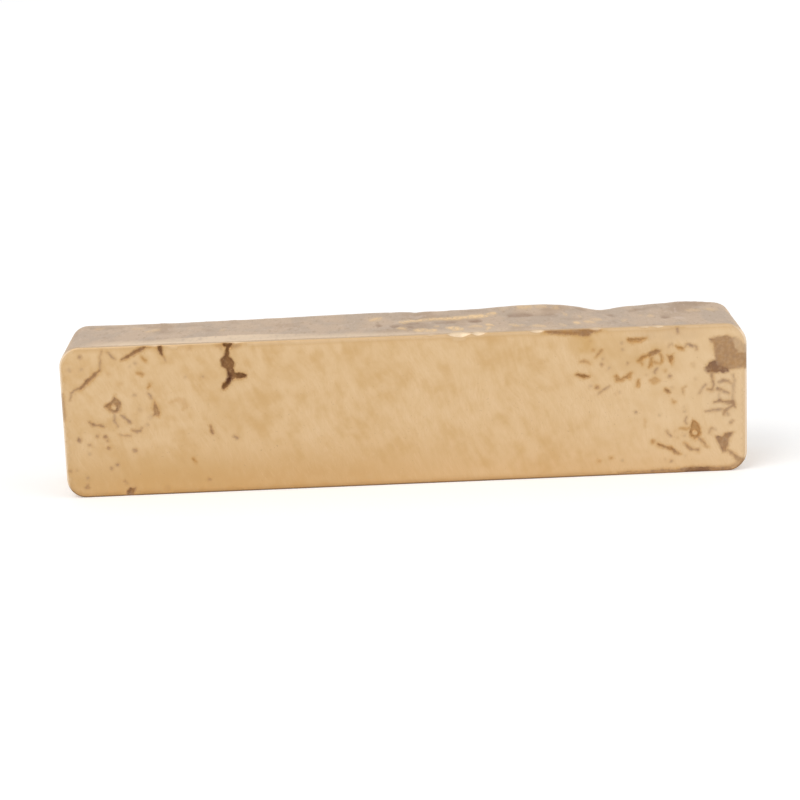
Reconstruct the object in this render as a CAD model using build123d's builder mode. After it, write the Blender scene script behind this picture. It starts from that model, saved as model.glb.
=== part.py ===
import os
from math import cos, radians, sin, tan

from build123d import *

os.makedirs("parts", exist_ok=True)

# A brass bar cast in an open mould, one solid, lying on one of its long sides.
# X runs along the bar, Y goes from the ground face in front to the poured side behind, Z is up.
# The origin is in the middle of the bar, on the floor. All sizes are in mm and degrees.

# Overall sizes, taken at the ground face
length = 160.0
height_left = 36.15
height_right = 35.6
depth = 23.6
draft = 1.0

# How much each end leans inward as it rises
lean_left = 0.6
lean_right = 0.4

# Corners and edges
radius_top_left = 4.8
radius_top_right = 5.1
radius_bottom_left = 4.4
radius_bottom_right = 4.6
ground_edge = 0.4
poured_edge = 1.3

# Line of the crest behind: place as a share of the length, and rise above the straight line
crest_shares = [0.42, 0.36, 0.33, 0.30, 0.27, 0.24, 0.20, 0.15, 0.09, -0.03, -0.15, -0.30, -0.40]
crest_rises = [0.35, -0.05, -0.3, -0.8, 0.1, 0.85, 1.2, 0.9, 0.45, 0.55, 0.3, -0.05, -0.1]

# How far the waves of the crest reach forward: share of the depth, share of the wave
wave_reach = [(0.0, 0.0), (0.5, 0.12), (0.8, 0.6), (1.0, 1.0)]

# Shrinkage hollow of the poured side
sink_depth = 0.8
sink_height = 27.0
sink_reach = 0.55

# Depths of the hollows in the ground face
skin_deep = 0.3
pit_deep = 0.8
cavity_deep = 1.8

# How far in front of a surface each cut begins
clearance = 0.5

# Cavities near the upper left corner, measured from that corner, to the right and up
star_cavity = [
    (37.4, 0.7),
    (38.9, -1.5),
    (39.0, -2.9),
    (37.7, -3.9),
    (37.5, -5.5),
    (38.3, -6.6),
    (39.0, -7.6),
    (38.8, -8.7),
    (37.6, -10.2),
    (37.6, -11.1),
    (38.3, -11.3),
    (39.6, -10.2),
    (40.4, -9.2),
    (41.8, -9.4),
    (42.5, -9.0),
    (42.3, -8.2),
    (41.3, -8.1),
    (40.6, -7.1),
    (40.9, -5.6),
    (40.4, -4.5),
    (39.5, -3.9),
    (39.5, -2.9),
    (39.9, -1.6),
    (41.2, 0.7),
]
edge_wedge = [(22.6, 0.6), (24.5, 0.6), (24.2, -1.5), (24.9, -3.4), (23.7, -2.0)]
long_pit = [
    (21.6, -13.9),
    (22.6, -15.8),
    (22.5, -17.1),
    (21.4, -17.5),
    (20.8, -16.8),
    (21.1, -15.2),
]
upper_cracks = [
    [(9.4, -5.5), (6.9, -7.9), (4.9, -9.7), (3.3, -10.0), (2.1, -11.2)],
    [(15.6, -2.9), (16.9, -2.0), (18.5, -1.9), (19.8, -0.8), (20.8, -0.3)],
    [(11.7, -2.4), (13.3, -3.5)],
]
crack_width = 0.55
left_ring = [
    (12.5, -12.2),
    (13.6, -13.3),
    (13.6, -14.9),
    (12.5, -16.1),
    (11.3, -15.5),
    (10.3, -14.4),
    (11.4, -13.5),
]
left_island_at = (12.4, -14.5)

# Hollows near the lower left corner, measured from that corner
bottom_notch = [(13.8, -0.6), (14.3, 1.6), (15.1, 2.0), (16.1, 1.7), (15.7, -0.6)]

# Hollows near the upper right corner, measured from that corner, so to the left is negative
skin_patch = [
    (-8.9, -3.8),
    (-6.2, -3.2),
    (-3.4, -3.6),
    (-2.6, -5.8),
    (0.8, -7.4),
    (0.8, -10.7),
    (-3.4, -11.1),
    (-5.4, -10.3),
    (-7.8, -9.4),
    (-8.3, -6.5),
]
patch_hollow = [
    (-7.7, -9.0),
    (-5.4, -9.9),
    (-4.3, -11.4),
    (-4.7, -12.5),
    (-7.4, -12.2),
    (-9.5, -12.1),
    (-10.0, -10.5),
    (-9.2, -9.5),
]
edge_strip = [
    (-47.6, 0.7),
    (-34.0, 0.7),
    (-34.3, -0.8),
    (-36.5, -1.6),
    (-37.6, -2.3),
    (-39.6, -1.8),
    (-43.5, -1.3),
    (-47.2, -0.8),
]
amber_pit = [
    (-28.0, -2.8),
    (-25.7, -2.7),
    (-23.6, -3.0),
    (-24.9, -3.8),
    (-26.6, -4.2),
    (-28.0, -3.8),
]
cluster_pit = [
    (-25.6, -8.2),
    (-24.9, -7.3),
    (-23.1, -7.2),
    (-22.6, -8.2),
    (-23.2, -9.6),
    (-24.9, -9.1),
]
drop_pit = [(-19.2, -7.0), (-17.7, -7.2), (-17.5, -9.4), (-18.3, -8.9)]
twin_pit = [
    (-31.1, -12.0),
    (-30.5, -13.3),
    (-28.8, -12.7),
    (-26.9, -12.5),
    (-27.2, -11.2),
    (-28.6, -12.0),
]
right_ring = [
    (-22.8, -8.3),
    (-22.5, -7.0),
    (-21.6, -6.2),
    (-20.3, -6.3),
    (-19.7, -7.5),
    (-19.3, -9.2),
    (-20.8, -9.3),
    (-21.9, -9.6),
]
right_island_at = (-20.9, -7.9)

# Hollows near the lower right corner, measured from that corner
low_hollow = [
    (-7.5, 8.8),
    (-5.4, 9.2),
    (-3.3, 9.4),
    (-4.6, 7.0),
    (-4.7, 5.2),
    (-6.1, 4.3),
    (-6.3, 6.3),
]
blob_pit = [(-12.6, 12.9), (-10.9, 10.9), (-10.6, 8.4), (-12.2, 7.3), (-13.9, 8.4), (-14.1, 10.9)]
blob_island_at = (-12.4, 9.3)
under_notch = [(-14.4, -0.6), (-14.1, 0.6), (-11.9, 1.1), (-9.5, 0.9), (-8.4, -0.6)]
lower_cracks = [
    [(-4.9, 5.0), (-1.9, 2.2)],
    [(-22.8, 8.0), (-21.2, 6.7), (-18.8, 6.1), (-16.2, 4.7)],
    [(-14.9, 7.1), (-13.9, 5.9), (-11.4, 5.0)],
]
lower_crack_width = 0.85

# Metal left standing in the middle of a ring-shaped pit: half its width and half its height
island_half_width = 0.65
island_half_height = 0.8

# How far the outlines run below the floor before the lower side is trued flat
trim = 0.05

lean_cos = cos(radians(draft))
lean_sin = sin(radians(draft))
rear_y = (depth / lean_cos + height_left * lean_sin) / 2
front_y = rear_y - depth / lean_cos
slope = (height_right - height_left) / length
left_end = -length / 2
right_end = length / 2
facing = (0, -lean_cos, -lean_sin)
ground_face = Plane((0, front_y, 0), x_dir=(1, 0, 0), z_dir=facing)
poured_face = Plane((0, rear_y, 0), x_dir=(1, 0, 0), z_dir=facing)
upper_left = ground_face * Pos(left_end, height_left, clearance)
upper_right = ground_face * Pos(right_end, height_right, clearance)
lower_left = ground_face * Pos(left_end, 0, clearance)
lower_right = ground_face * Pos(right_end, 0, clearance)

# The barrel that cuts the shrinkage hollow: its radius follows from the hollow's height and depth
barrel_half = sink_reach * length
barrel_radius = (sink_height**2 / 4 + sink_depth**2) / (2 * sink_depth)
sink_middle = poured_face.from_local_coords((0, height_right / 2, 0))
sink_plane = Plane(sink_middle, x_dir=(1, 0, 0), z_dir=(0, -lean_sin, lean_cos))
barrel_middle = sink_plane.from_local_coords((0, barrel_radius - sink_depth, 0))
barrel_axis = Axis(barrel_middle, (1, 0, 0))

with BuildPart() as cast_bar:
    # The body, through outlines that stand one behind the other and grow with the mould's draft
    for reach, share in wave_reach:
        widen = reach * depth * tan(radians(draft))
        half = length / 2 + widen
        top_left = height_left + 2 * widen
        top_right = height_right + 2 * widen
        middle = (top_left + top_right) / 2
        waves = []
        for place, rise in zip(crest_shares, crest_rises):
            waves.append((place * length, middle + slope * place * length + share * rise))
        with BuildSketch(Plane((0, front_y + reach * depth / lean_cos, 0), x_dir=(1, 0, 0), z_dir=facing)):
            with BuildLine():
                Line((-half + radius_bottom_left, -trim), (half - radius_bottom_right, -trim))
                shoulders = []
                for side, lean, foot_radius, shoulder_radius, top in [
                    (1, lean_right, radius_bottom_right, radius_top_right, top_right),
                    (-1, lean_left, radius_bottom_left, radius_top_left, top_left),
                ]:
                    foot_start = (side * (half - foot_radius), -trim)
                    foot = JernArc(foot_start, (side, 0), foot_radius, side * (90 + lean))
                    shoulder_foot = top - shoulder_radius * (1 - sin(radians(lean)))
                    rise = (shoulder_foot - (foot @ 1).Y) / cos(radians(lean))
                    end_wall = PolarLine(foot @ 1, rise, angle=90 + side * lean)
                    shoulder = JernArc(end_wall @ 1, end_wall % 1, shoulder_radius, side * (90 - lean))
                    shoulders.append(shoulder @ 1)
                Spline(shoulders[0], *waves, shoulders[1], tangents=((-1, 0), (-1, 0)))
            make_face()
    loft()
    split(bisect_by=Plane.XY, keep=Keep.TOP)

    # The rolled edge of the poured side, then the thin bevel round the ground face
    fillet(cast_bar.faces().sort_by(Axis.Y)[-1].outer_wire().edges(), poured_edge)
    chamfer(cast_bar.faces().sort_by(Axis.Y)[0].outer_wire().edges(), ground_edge)

    # The dished middle of the poured side, where the metal shrank as it set
    with BuildSketch(sink_plane):
        with BuildLine():
            ThreePointArc((-barrel_half, clearance), (0, -sink_depth), (barrel_half, clearance))
            Polyline(
                (barrel_half, clearance),
                (barrel_half, barrel_radius - sink_depth),
                (-barrel_half, barrel_radius - sink_depth),
                (-barrel_half, clearance),
            )
        make_face()
    revolve(axis=barrel_axis, mode=Mode.SUBTRACT)

    # Rounded hollows of the ground face, each cut from just in front of it
    for plane, outlines, deep in [
        (upper_left, [long_pit], pit_deep),
        (lower_left, [bottom_notch], pit_deep),
        (upper_right, [skin_patch, edge_strip], skin_deep),
        (upper_right, [patch_hollow, amber_pit, cluster_pit, drop_pit, twin_pit], pit_deep),
        (lower_right, [under_notch], pit_deep),
    ]:
        with BuildSketch(plane):
            for outline in outlines:
                with BuildLine():
                    Spline(*outline, periodic=True)
                make_face()
        extrude(amount=-deep - clearance, mode=Mode.SUBTRACT)

    # Jagged hollows, where the metal tore as it shrank
    for plane, outlines, deep in [
        (upper_left, [star_cavity, edge_wedge], cavity_deep),
        (lower_right, [low_hollow], pit_deep),
    ]:
        with BuildSketch(plane):
            for outline in outlines:
                with BuildLine():
                    Polyline(*outline, close=True)
                make_face()
        extrude(amount=-deep - clearance, mode=Mode.SUBTRACT)

    # Cracks, as narrow grooves
    for plane, cracks, width in [
        (upper_left, upper_cracks, crack_width),
        (lower_right, lower_cracks, lower_crack_width),
    ]:
        with BuildSketch(plane):
            for crack in cracks:
                with BuildLine():
                    Polyline(*crack)
                trace(line_width=width)
        extrude(amount=-pit_deep - clearance, mode=Mode.SUBTRACT)

    # Ring-shaped pits
    for plane, ring, island_at in [
        (upper_left, left_ring, left_island_at),
        (upper_right, right_ring, right_island_at),
        (lower_right, blob_pit, blob_island_at),
    ]:
        with BuildSketch(plane):
            with BuildLine():
                Spline(*ring, periodic=True)
            make_face()
            with Locations(island_at):
                Ellipse(island_half_width, island_half_height, mode=Mode.SUBTRACT)
        extrude(amount=-pit_deep - clearance, mode=Mode.SUBTRACT)

cast_bar.part.label = "cast_bar"
export_step(cast_bar.part, "parts/cast_bar.step")
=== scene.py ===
import math
from collections import namedtuple
from functools import cached_property, reduce

import bpy
import numpy as np
from mathutils import Matrix, Vector
from mathutils.geometry import delaunay_2d_cdt


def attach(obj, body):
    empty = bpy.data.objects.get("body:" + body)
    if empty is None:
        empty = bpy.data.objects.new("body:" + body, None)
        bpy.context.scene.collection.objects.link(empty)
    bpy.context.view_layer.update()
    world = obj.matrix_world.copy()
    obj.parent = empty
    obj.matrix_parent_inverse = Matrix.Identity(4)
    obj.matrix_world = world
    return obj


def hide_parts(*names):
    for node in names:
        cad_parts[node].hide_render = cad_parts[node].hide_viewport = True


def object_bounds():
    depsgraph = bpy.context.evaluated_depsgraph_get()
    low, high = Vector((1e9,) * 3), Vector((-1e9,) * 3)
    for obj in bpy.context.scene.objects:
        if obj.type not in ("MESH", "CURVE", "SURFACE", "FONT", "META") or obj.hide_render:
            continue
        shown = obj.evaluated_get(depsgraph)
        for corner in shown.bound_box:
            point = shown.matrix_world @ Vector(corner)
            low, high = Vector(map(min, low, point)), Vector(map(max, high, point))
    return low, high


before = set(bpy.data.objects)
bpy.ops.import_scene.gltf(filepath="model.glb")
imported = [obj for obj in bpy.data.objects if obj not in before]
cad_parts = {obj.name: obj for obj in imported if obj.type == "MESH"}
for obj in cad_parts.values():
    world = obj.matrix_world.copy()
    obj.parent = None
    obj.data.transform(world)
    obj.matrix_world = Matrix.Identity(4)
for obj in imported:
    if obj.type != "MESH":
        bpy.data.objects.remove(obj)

cad_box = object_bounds()
MM = 0.001

# Sizes of the casting in mm, as the part's source has them
LENGTH = 160.0
HEIGHT_LEFT, HEIGHT_RIGHT = 36.15, 35.6
DEPTH = 23.6
DRAFT = math.radians(1.0)
LEAN_LEFT, LEAN_RIGHT = math.radians(0.6), math.radians(0.4)
RADIUS_TOP_LEFT, RADIUS_TOP_RIGHT = 4.8, 5.1
RADIUS_BOTTOM_LEFT, RADIUS_BOTTOM_RIGHT = 4.4, 4.6
GROUND_EDGE = 0.4
POURED_EDGE = 1.3
CREST_SHARES = [-0.40, -0.30, -0.15, -0.03, 0.09, 0.15, 0.20, 0.24, 0.27, 0.30, 0.33, 0.36, 0.42]
CREST_RISES = [-0.1, -0.05, 0.3, 0.55, 0.45, 0.9, 1.2, 0.85, 0.1, -0.8, -0.3, -0.05, 0.35]
REACH_SHARES = [0.0, 0.5, 0.8, 1.0]
REACH_WAVES = [0.0, 0.12, 0.6, 1.0]
SINK_DEPTH, SINK_HEIGHT, SINK_REACH, SINK_START = 0.8, 27.0, 0.55, 0.5

REAR_Y = (DEPTH / math.cos(DRAFT) + HEIGHT_LEFT * math.sin(DRAFT)) / 2
FRONT_Y = REAR_Y - DEPTH / math.cos(DRAFT)

# The photograph and the camera that took it: pixels, degrees and mm
PHOTO_SIZE = 800
FOCAL_PIXELS = 2032.5
PITCH, YAW, ROLL = math.radians(13.089), math.radians(-0.551), math.radians(-2.26)
CAMERA_PLACE = Vector((-5.64, -461.65 + FRONT_Y, 127.77))
TURN = (
    Matrix.Rotation(YAW, 3, "Z")
    @ Matrix.Rotation(math.pi / 2 - PITCH, 3, "X")
    @ Matrix.Rotation(ROLL, 3, "Z")
)


def ray(u, v):
    """Direction in the row frame of the line of sight through a pixel of the photograph."""
    middle = PHOTO_SIZE / 2
    return TURN @ Vector(((u - middle) / FOCAL_PIXELS, (middle - v) / FOCAL_PIXELS, -1.0))


def on_face(u, v):
    """Place on the ground face behind a pixel: mm from the bar's middle, and height along the face."""
    rearward = Vector((0, math.cos(DRAFT), math.sin(DRAFT)))
    line = ray(u, v)
    start = CAMERA_PLACE - Vector((0, FRONT_Y, 0))
    hit = start - line * (start.dot(rearward) / line.dot(rearward))
    return hit.x, hit.z / math.cos(DRAFT)


def on_top(u, v):
    """Place on the top side behind a pixel: mm from the bar's middle, and depth behind the ground face."""
    upward = Vector((0, -math.sin(2 * DRAFT), math.cos(2 * DRAFT)))
    line = ray(u, v)
    height = (HEIGHT_LEFT + HEIGHT_RIGHT) / 2
    edge = Vector((0, -height * math.sin(DRAFT), height * math.cos(DRAFT)))
    start = CAMERA_PLACE - Vector((0, FRONT_Y, 0))
    hit = start + line * ((edge - start).dot(upward) / line.dot(upward))
    return hit.x, (hit.y - edge.y) / math.cos(2 * DRAFT)


# Noise and shaping, all worked out for whole arrays

# Large numbers that scramble a place and its seed, and the bits that are kept
SCRAMBLE = (374761393, 668265263, 1274126177, 974634777)
SCRAMBLE_AGAIN = ((13, 1274126177), (16, 69069))
KEPT_BITS, LOW_BITS = 0x7FFFFFFF, 0xFFFF


def lattice(ix, iy, iz, seed):
    """A repeatable number from -1 to 1 for each whole-numbered place."""
    mixed = sum(number * factor for number, factor in zip((ix, iy, iz, seed), SCRAMBLE))
    for shift, factor in SCRAMBLE_AGAIN:
        mixed = (mixed ^ (mixed >> shift)) * factor & KEPT_BITS
    return (mixed & LOW_BITS) / (LOW_BITS / 2) - 1


def noise(x, y, z=0.0, seed=0):
    """Smooth noise from -1 to 1, about one lump for each unit."""
    x, y, z = np.broadcast_arrays(np.asarray(x, float), np.asarray(y, float), np.asarray(z, float))
    ix, iy, iz = (np.floor(c).astype(np.int64) for c in (x, y, z))
    fx, fy, fz = (c - i for c, i in ((x, ix), (y, iy), (z, iz)))
    fx, fy, fz = (f * f * (3 - 2 * f) for f in (fx, fy, fz))
    total = 0
    for dx in (0, 1):
        for dy in (0, 1):
            for dz in (0, 1):
                weight = (fx if dx else 1 - fx) * (fy if dy else 1 - fy) * (fz if dz else 1 - fz)
                total = total + weight * lattice(ix + dx, iy + dy, iz + dz, seed)
    return total


def rough(x, y, z=0.0, seed=0, layers=3):
    """Noise with finer noise on it."""
    total = 0
    for layer in range(layers):
        scale = 2.0**layer
        total = total + noise(x * scale, y * scale, z * scale, seed + layer) / scale
    return total


def smooth(low, high, value):
    """0 below low, 1 above high, with a soft ramp between."""
    t = np.clip((value - low) / (high - low), 0, 1)
    return t * t * (3 - 2 * t)


def curve(places, heights, x):
    """A smooth curve through points, level at both ends."""
    places, heights = np.array(places, float), np.array(heights, float)
    count = len(places)
    step = np.diff(places)
    matrix = np.zeros((count, count))
    right = np.zeros(count)
    matrix[0, 0] = matrix[-1, -1] = 1
    for i in range(1, count - 1):
        matrix[i, i - 1] = 1 / step[i - 1]
        matrix[i, i] = 2 / step[i - 1] + 2 / step[i]
        matrix[i, i + 1] = 1 / step[i]
        rise_before = (heights[i] - heights[i - 1]) / step[i - 1] ** 2
        rise_after = (heights[i + 1] - heights[i]) / step[i] ** 2
        right[i] = 3 * (rise_before + rise_after)
    slopes = np.linalg.solve(matrix, right)
    i = np.clip(np.searchsorted(places, x) - 1, 0, count - 2)
    width = step[i]
    t = np.clip((x - places[i]) / width, 0, 1)
    start = heights[i] * (1 + 2 * t) * (1 - t) ** 2 + slopes[i] * width * t * (1 - t) ** 2
    end = heights[i + 1] * t * t * (3 - 2 * t) - slopes[i + 1] * width * t * t * (1 - t)
    return start + end


# Marks of the ground face, read from an eightfold enlargement of each end of the photograph. A stroke
# is a row of (across, down, radius) and a patch an outline of (across, down), both in the enlargement's own
# pixels. Each has a depth in mm, how dark its oxide is, and how amber that oxide is, both from 0 to 1.
ENLARGED = 8
LEFT_CORNER = (60, 340)
RIGHT_CORNER = (580, 325)

Mark = namedtuple("Mark", "closed points deep dark amber")


def stroke(deep, dark, amber, *points):
    """A mark drawn as a line of changing width, or as a dot if it has one point."""
    return Mark(False, points, deep, dark, amber)


def patch(deep, dark, amber, *points):
    """A mark drawn as an outline."""
    return Mark(True, points, deep, dark, amber)


# The darkness of the marks named shade is painted shade, not oxide
LEFT_MARKS = {
    "corner crack": stroke(0.7, 0.75, 0.35, (318, 245, 10), (265, 295, 15), (215, 340, 18), (170, 388, 14)),
    "its thin end": stroke(0.3, 0.48, 0.2, (170, 388, 11), (120, 402, 11), (90, 430, 7), (78, 480, 5)),
    "crack above it": stroke(
        0.15, 0.35, 0.2, (330, 97, 10), (320, 135, 5), (322, 170, 10), (320, 215, 7), (318, 245, 7)
    ),
    "short crack": stroke(0.3, 0.45, 0.1, (378, 100, 6), (405, 122, 9), (435, 150, 7)),
    "slanted crack": stroke(
        0.7, 0.8, 0.5, (490, 162, 5), (520, 148, 12), (560, 125, 12), (600, 100, 17), (650, 75, 18),
        (680, 58, 11), (720, 52, 5)
    ),
    "its end": stroke(0.4, 0.6, 0.7, (730, 50, 5), (755, 55, 5), (772, 70, 4)),
    "upper amber dot": stroke(0.4, 0.5, 0.9, (655, 140, 10), (685, 170, 12)),
    "middle amber dot": stroke(0.4, 0.55, 0.8, (618, 262, 10), (655, 278, 12)),
    "lower amber dot": stroke(0.4, 0.5, 1.0, (716, 355, 10), (705, 382, 12)),
    "dot above the pit": stroke(0.3, 0.4, 0.1, (700, 425, 7), (725, 450, 11), (738, 468, 8)),
    "wedge": patch(1.2, 0.83, 0.6, (770, 20), (812, 20), (820, 90), (838, 142), (805, 115), (780, 80)),
    "wedge tail": stroke(0.2, 0.45, 0.2, (832, 135, 7), (850, 176, 3)),
    "long pit": patch(
        0.6, 0.52, 0.5, (752, 478), (768, 510), (788, 545), (803, 590), (795, 618), (768, 610),
        (735, 612), (752, 585), (740, 560)
    ),
    "ring": patch(
        0.6, 0.66, 0.4, (437, 445), (455, 475), (485, 500), (487, 545), (475, 575), (440, 592),
        (405, 580), (385, 555), (355, 535), (372, 512), (405, 500), (425, 475)
    ),
    "ring tail": stroke(0.2, 0.33, 0.1, (437, 600, 7), (433, 650, 12), (460, 690, 9)),
    "chain": stroke(0.3, 0.5, 0.1, (495, 603, 9), (525, 628, 7), (558, 657, 14)),
    "first left stroke": stroke(
        0.4, 0.62, 0.2, (236, 658, 9), (262, 676, 14), (295, 680, 7), (328, 690, 13), (350, 694, 8)
    ),
    "second left stroke": stroke(
        0.3, 0.5, 0.2, (580, 722, 9), (610, 733, 14), (640, 730, 10), (652, 700, 5)
    ),
    "faint stroke": stroke(0.15, 0.35, 0.3, (478, 758, 5), (510, 768, 7), (535, 766, 10), (570, 768, 6)),
    "bottom notch": patch(
        0.8, 0.75, 0.3, (520, 1260), (535, 1205), (548, 1200), (560, 1178), (582, 1186), (610, 1178),
        (604, 1205), (590, 1260)
    ),
    "star cavity": patch(
        1.3, 0.84, 0.6, (1285, 10), (1395, 10), (1375, 60), (1355, 70), (1350, 125), (1375, 150),
        (1402, 188), (1385, 225), (1400, 260), (1440, 262), (1490, 272), (1488, 300), (1450, 315),
        (1405, 312), (1370, 330), (1345, 375), (1308, 400), (1294, 385), (1300, 350), (1340, 320),
        (1340, 270), (1320, 225), (1290, 205), (1284, 160), (1310, 130), (1320, 100), (1322, 65),
        (1300, 50)
    ),
    "star junction": stroke(0.0, 1.0, 0.45, (1352, 262, 10), (1368, 292, 22), (1338, 345, 14)),
    "star right arm": stroke(0.0, 0.9, 0.35, (1400, 288, 12), (1470, 286, 12)),
    "shade left of the star": stroke(0.1, 0.25, 0.6, (1250, 45, 8), (1280, 50, 16), (1290, 70, 12)),
    "shade of the left edge": stroke(
        0.0, 0.3, 0.4, (18, 440, 9), (24, 500, 16), (28, 570, 18), (36, 640, 10)
    ),
    "shade right of the star": stroke(0.1, 0.3, 0.6, (1372, 62, 12), (1410, 48, 16), (1440, 40, 9)),
    "upright dash": stroke(0.5, 0.68, 0.4, (1204, 692, 9), (1212, 722, 12), (1218, 745, 9)),
    "level dash": stroke(0.3, 0.5, 0.1, (1390, 772, 8), (1420, 782, 12)),
    "amber dash": stroke(0.35, 0.45, 1.0, (1067, 950, 12), (1088, 978, 10)),
    "swirl": stroke(
        0.0, 0.12, 1.0, (880, 505, 10), (930, 475, 16), (985, 490, 24), (1005, 530, 20),
        (985, 560, 10)
    ),
}
# Dots of the left end: (across, down, radius, depth, dark, amber)
LEFT_DOTS = [
    (160, 136, 17, 0.2, 0.4, 0.1),
    (168, 236, 15, 0.05, 0.24, 0.0),
    (600, 185, 18, 0.1, 0.2, 0.0),
    (560, 212, 11, 0.0, 0.12, 0.2),
    (597, 442, 19, 0.05, 0.2, 0.0),
    (156, 802, 20, 0.5, 0.6, 0.2),
    (302, 771, 16, 0.3, 0.42, 0.2),
    (364, 778, 17, 0.5, 0.6, 0.2),
    (384, 806, 13, 0.4, 0.5, 0.3),
    (240, 842, 17, 0.15, 0.33, 0.1),
    (236, 911, 14, 0.0, 0.16, 0.1),
    (394, 866, 17, 0.5, 0.6, 0.3),
    (601, 885, 18, 0.4, 0.5, 0.2),
    (457, 998, 16, 0.3, 0.42, 0.0),
    (415, 1028, 16, 0.3, 0.42, 0.1),
    (84, 1053, 17, 0.15, 0.35, 0.3),
    (138, 1046, 12, 0.05, 0.22, 0.3),
    (223, 1106, 16, 0.1, 0.28, 0.1),
    (221, 1178, 20, 0.4, 0.55, 0.3),
    (228, 1160, 11, 0.3, 0.4, 0.3),
    (522, 1128, 14, 0.25, 0.4, 0.4),
    (533, 1146, 13, 0.2, 0.35, 0.4),
    (1198, 1110, 16, 0.15, 0.34, 0.4),
    (1143, 293, 12, 0.1, 0.28, 0.0),
    (1002, 300, 11, 0.05, 0.2, 0.0),
    (74, 240, 20, 0.0, 0.14, 0.0),
    (1036, 62, 19, 0.05, 0.2, 0.8),
    (390, 276, 19, 0.0, 0.12, 0.8),
    (489, 350, 17, 0.0, 0.13, 0.8),
    (702, 680, 13, 0.0, 0.14, 0.1),
    (860, 1190, 30, 0.0, 0.08, 0.6),
    (640, 560, 24, 0.0, 0.07, 0.1),
    (720, 620, 22, 0.0, 0.07, 0.1),
]
# Metal left standing in the left end's ring: (across, down, radius)
LEFT_ISLANDS = [(431, 543, 19)]

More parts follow.
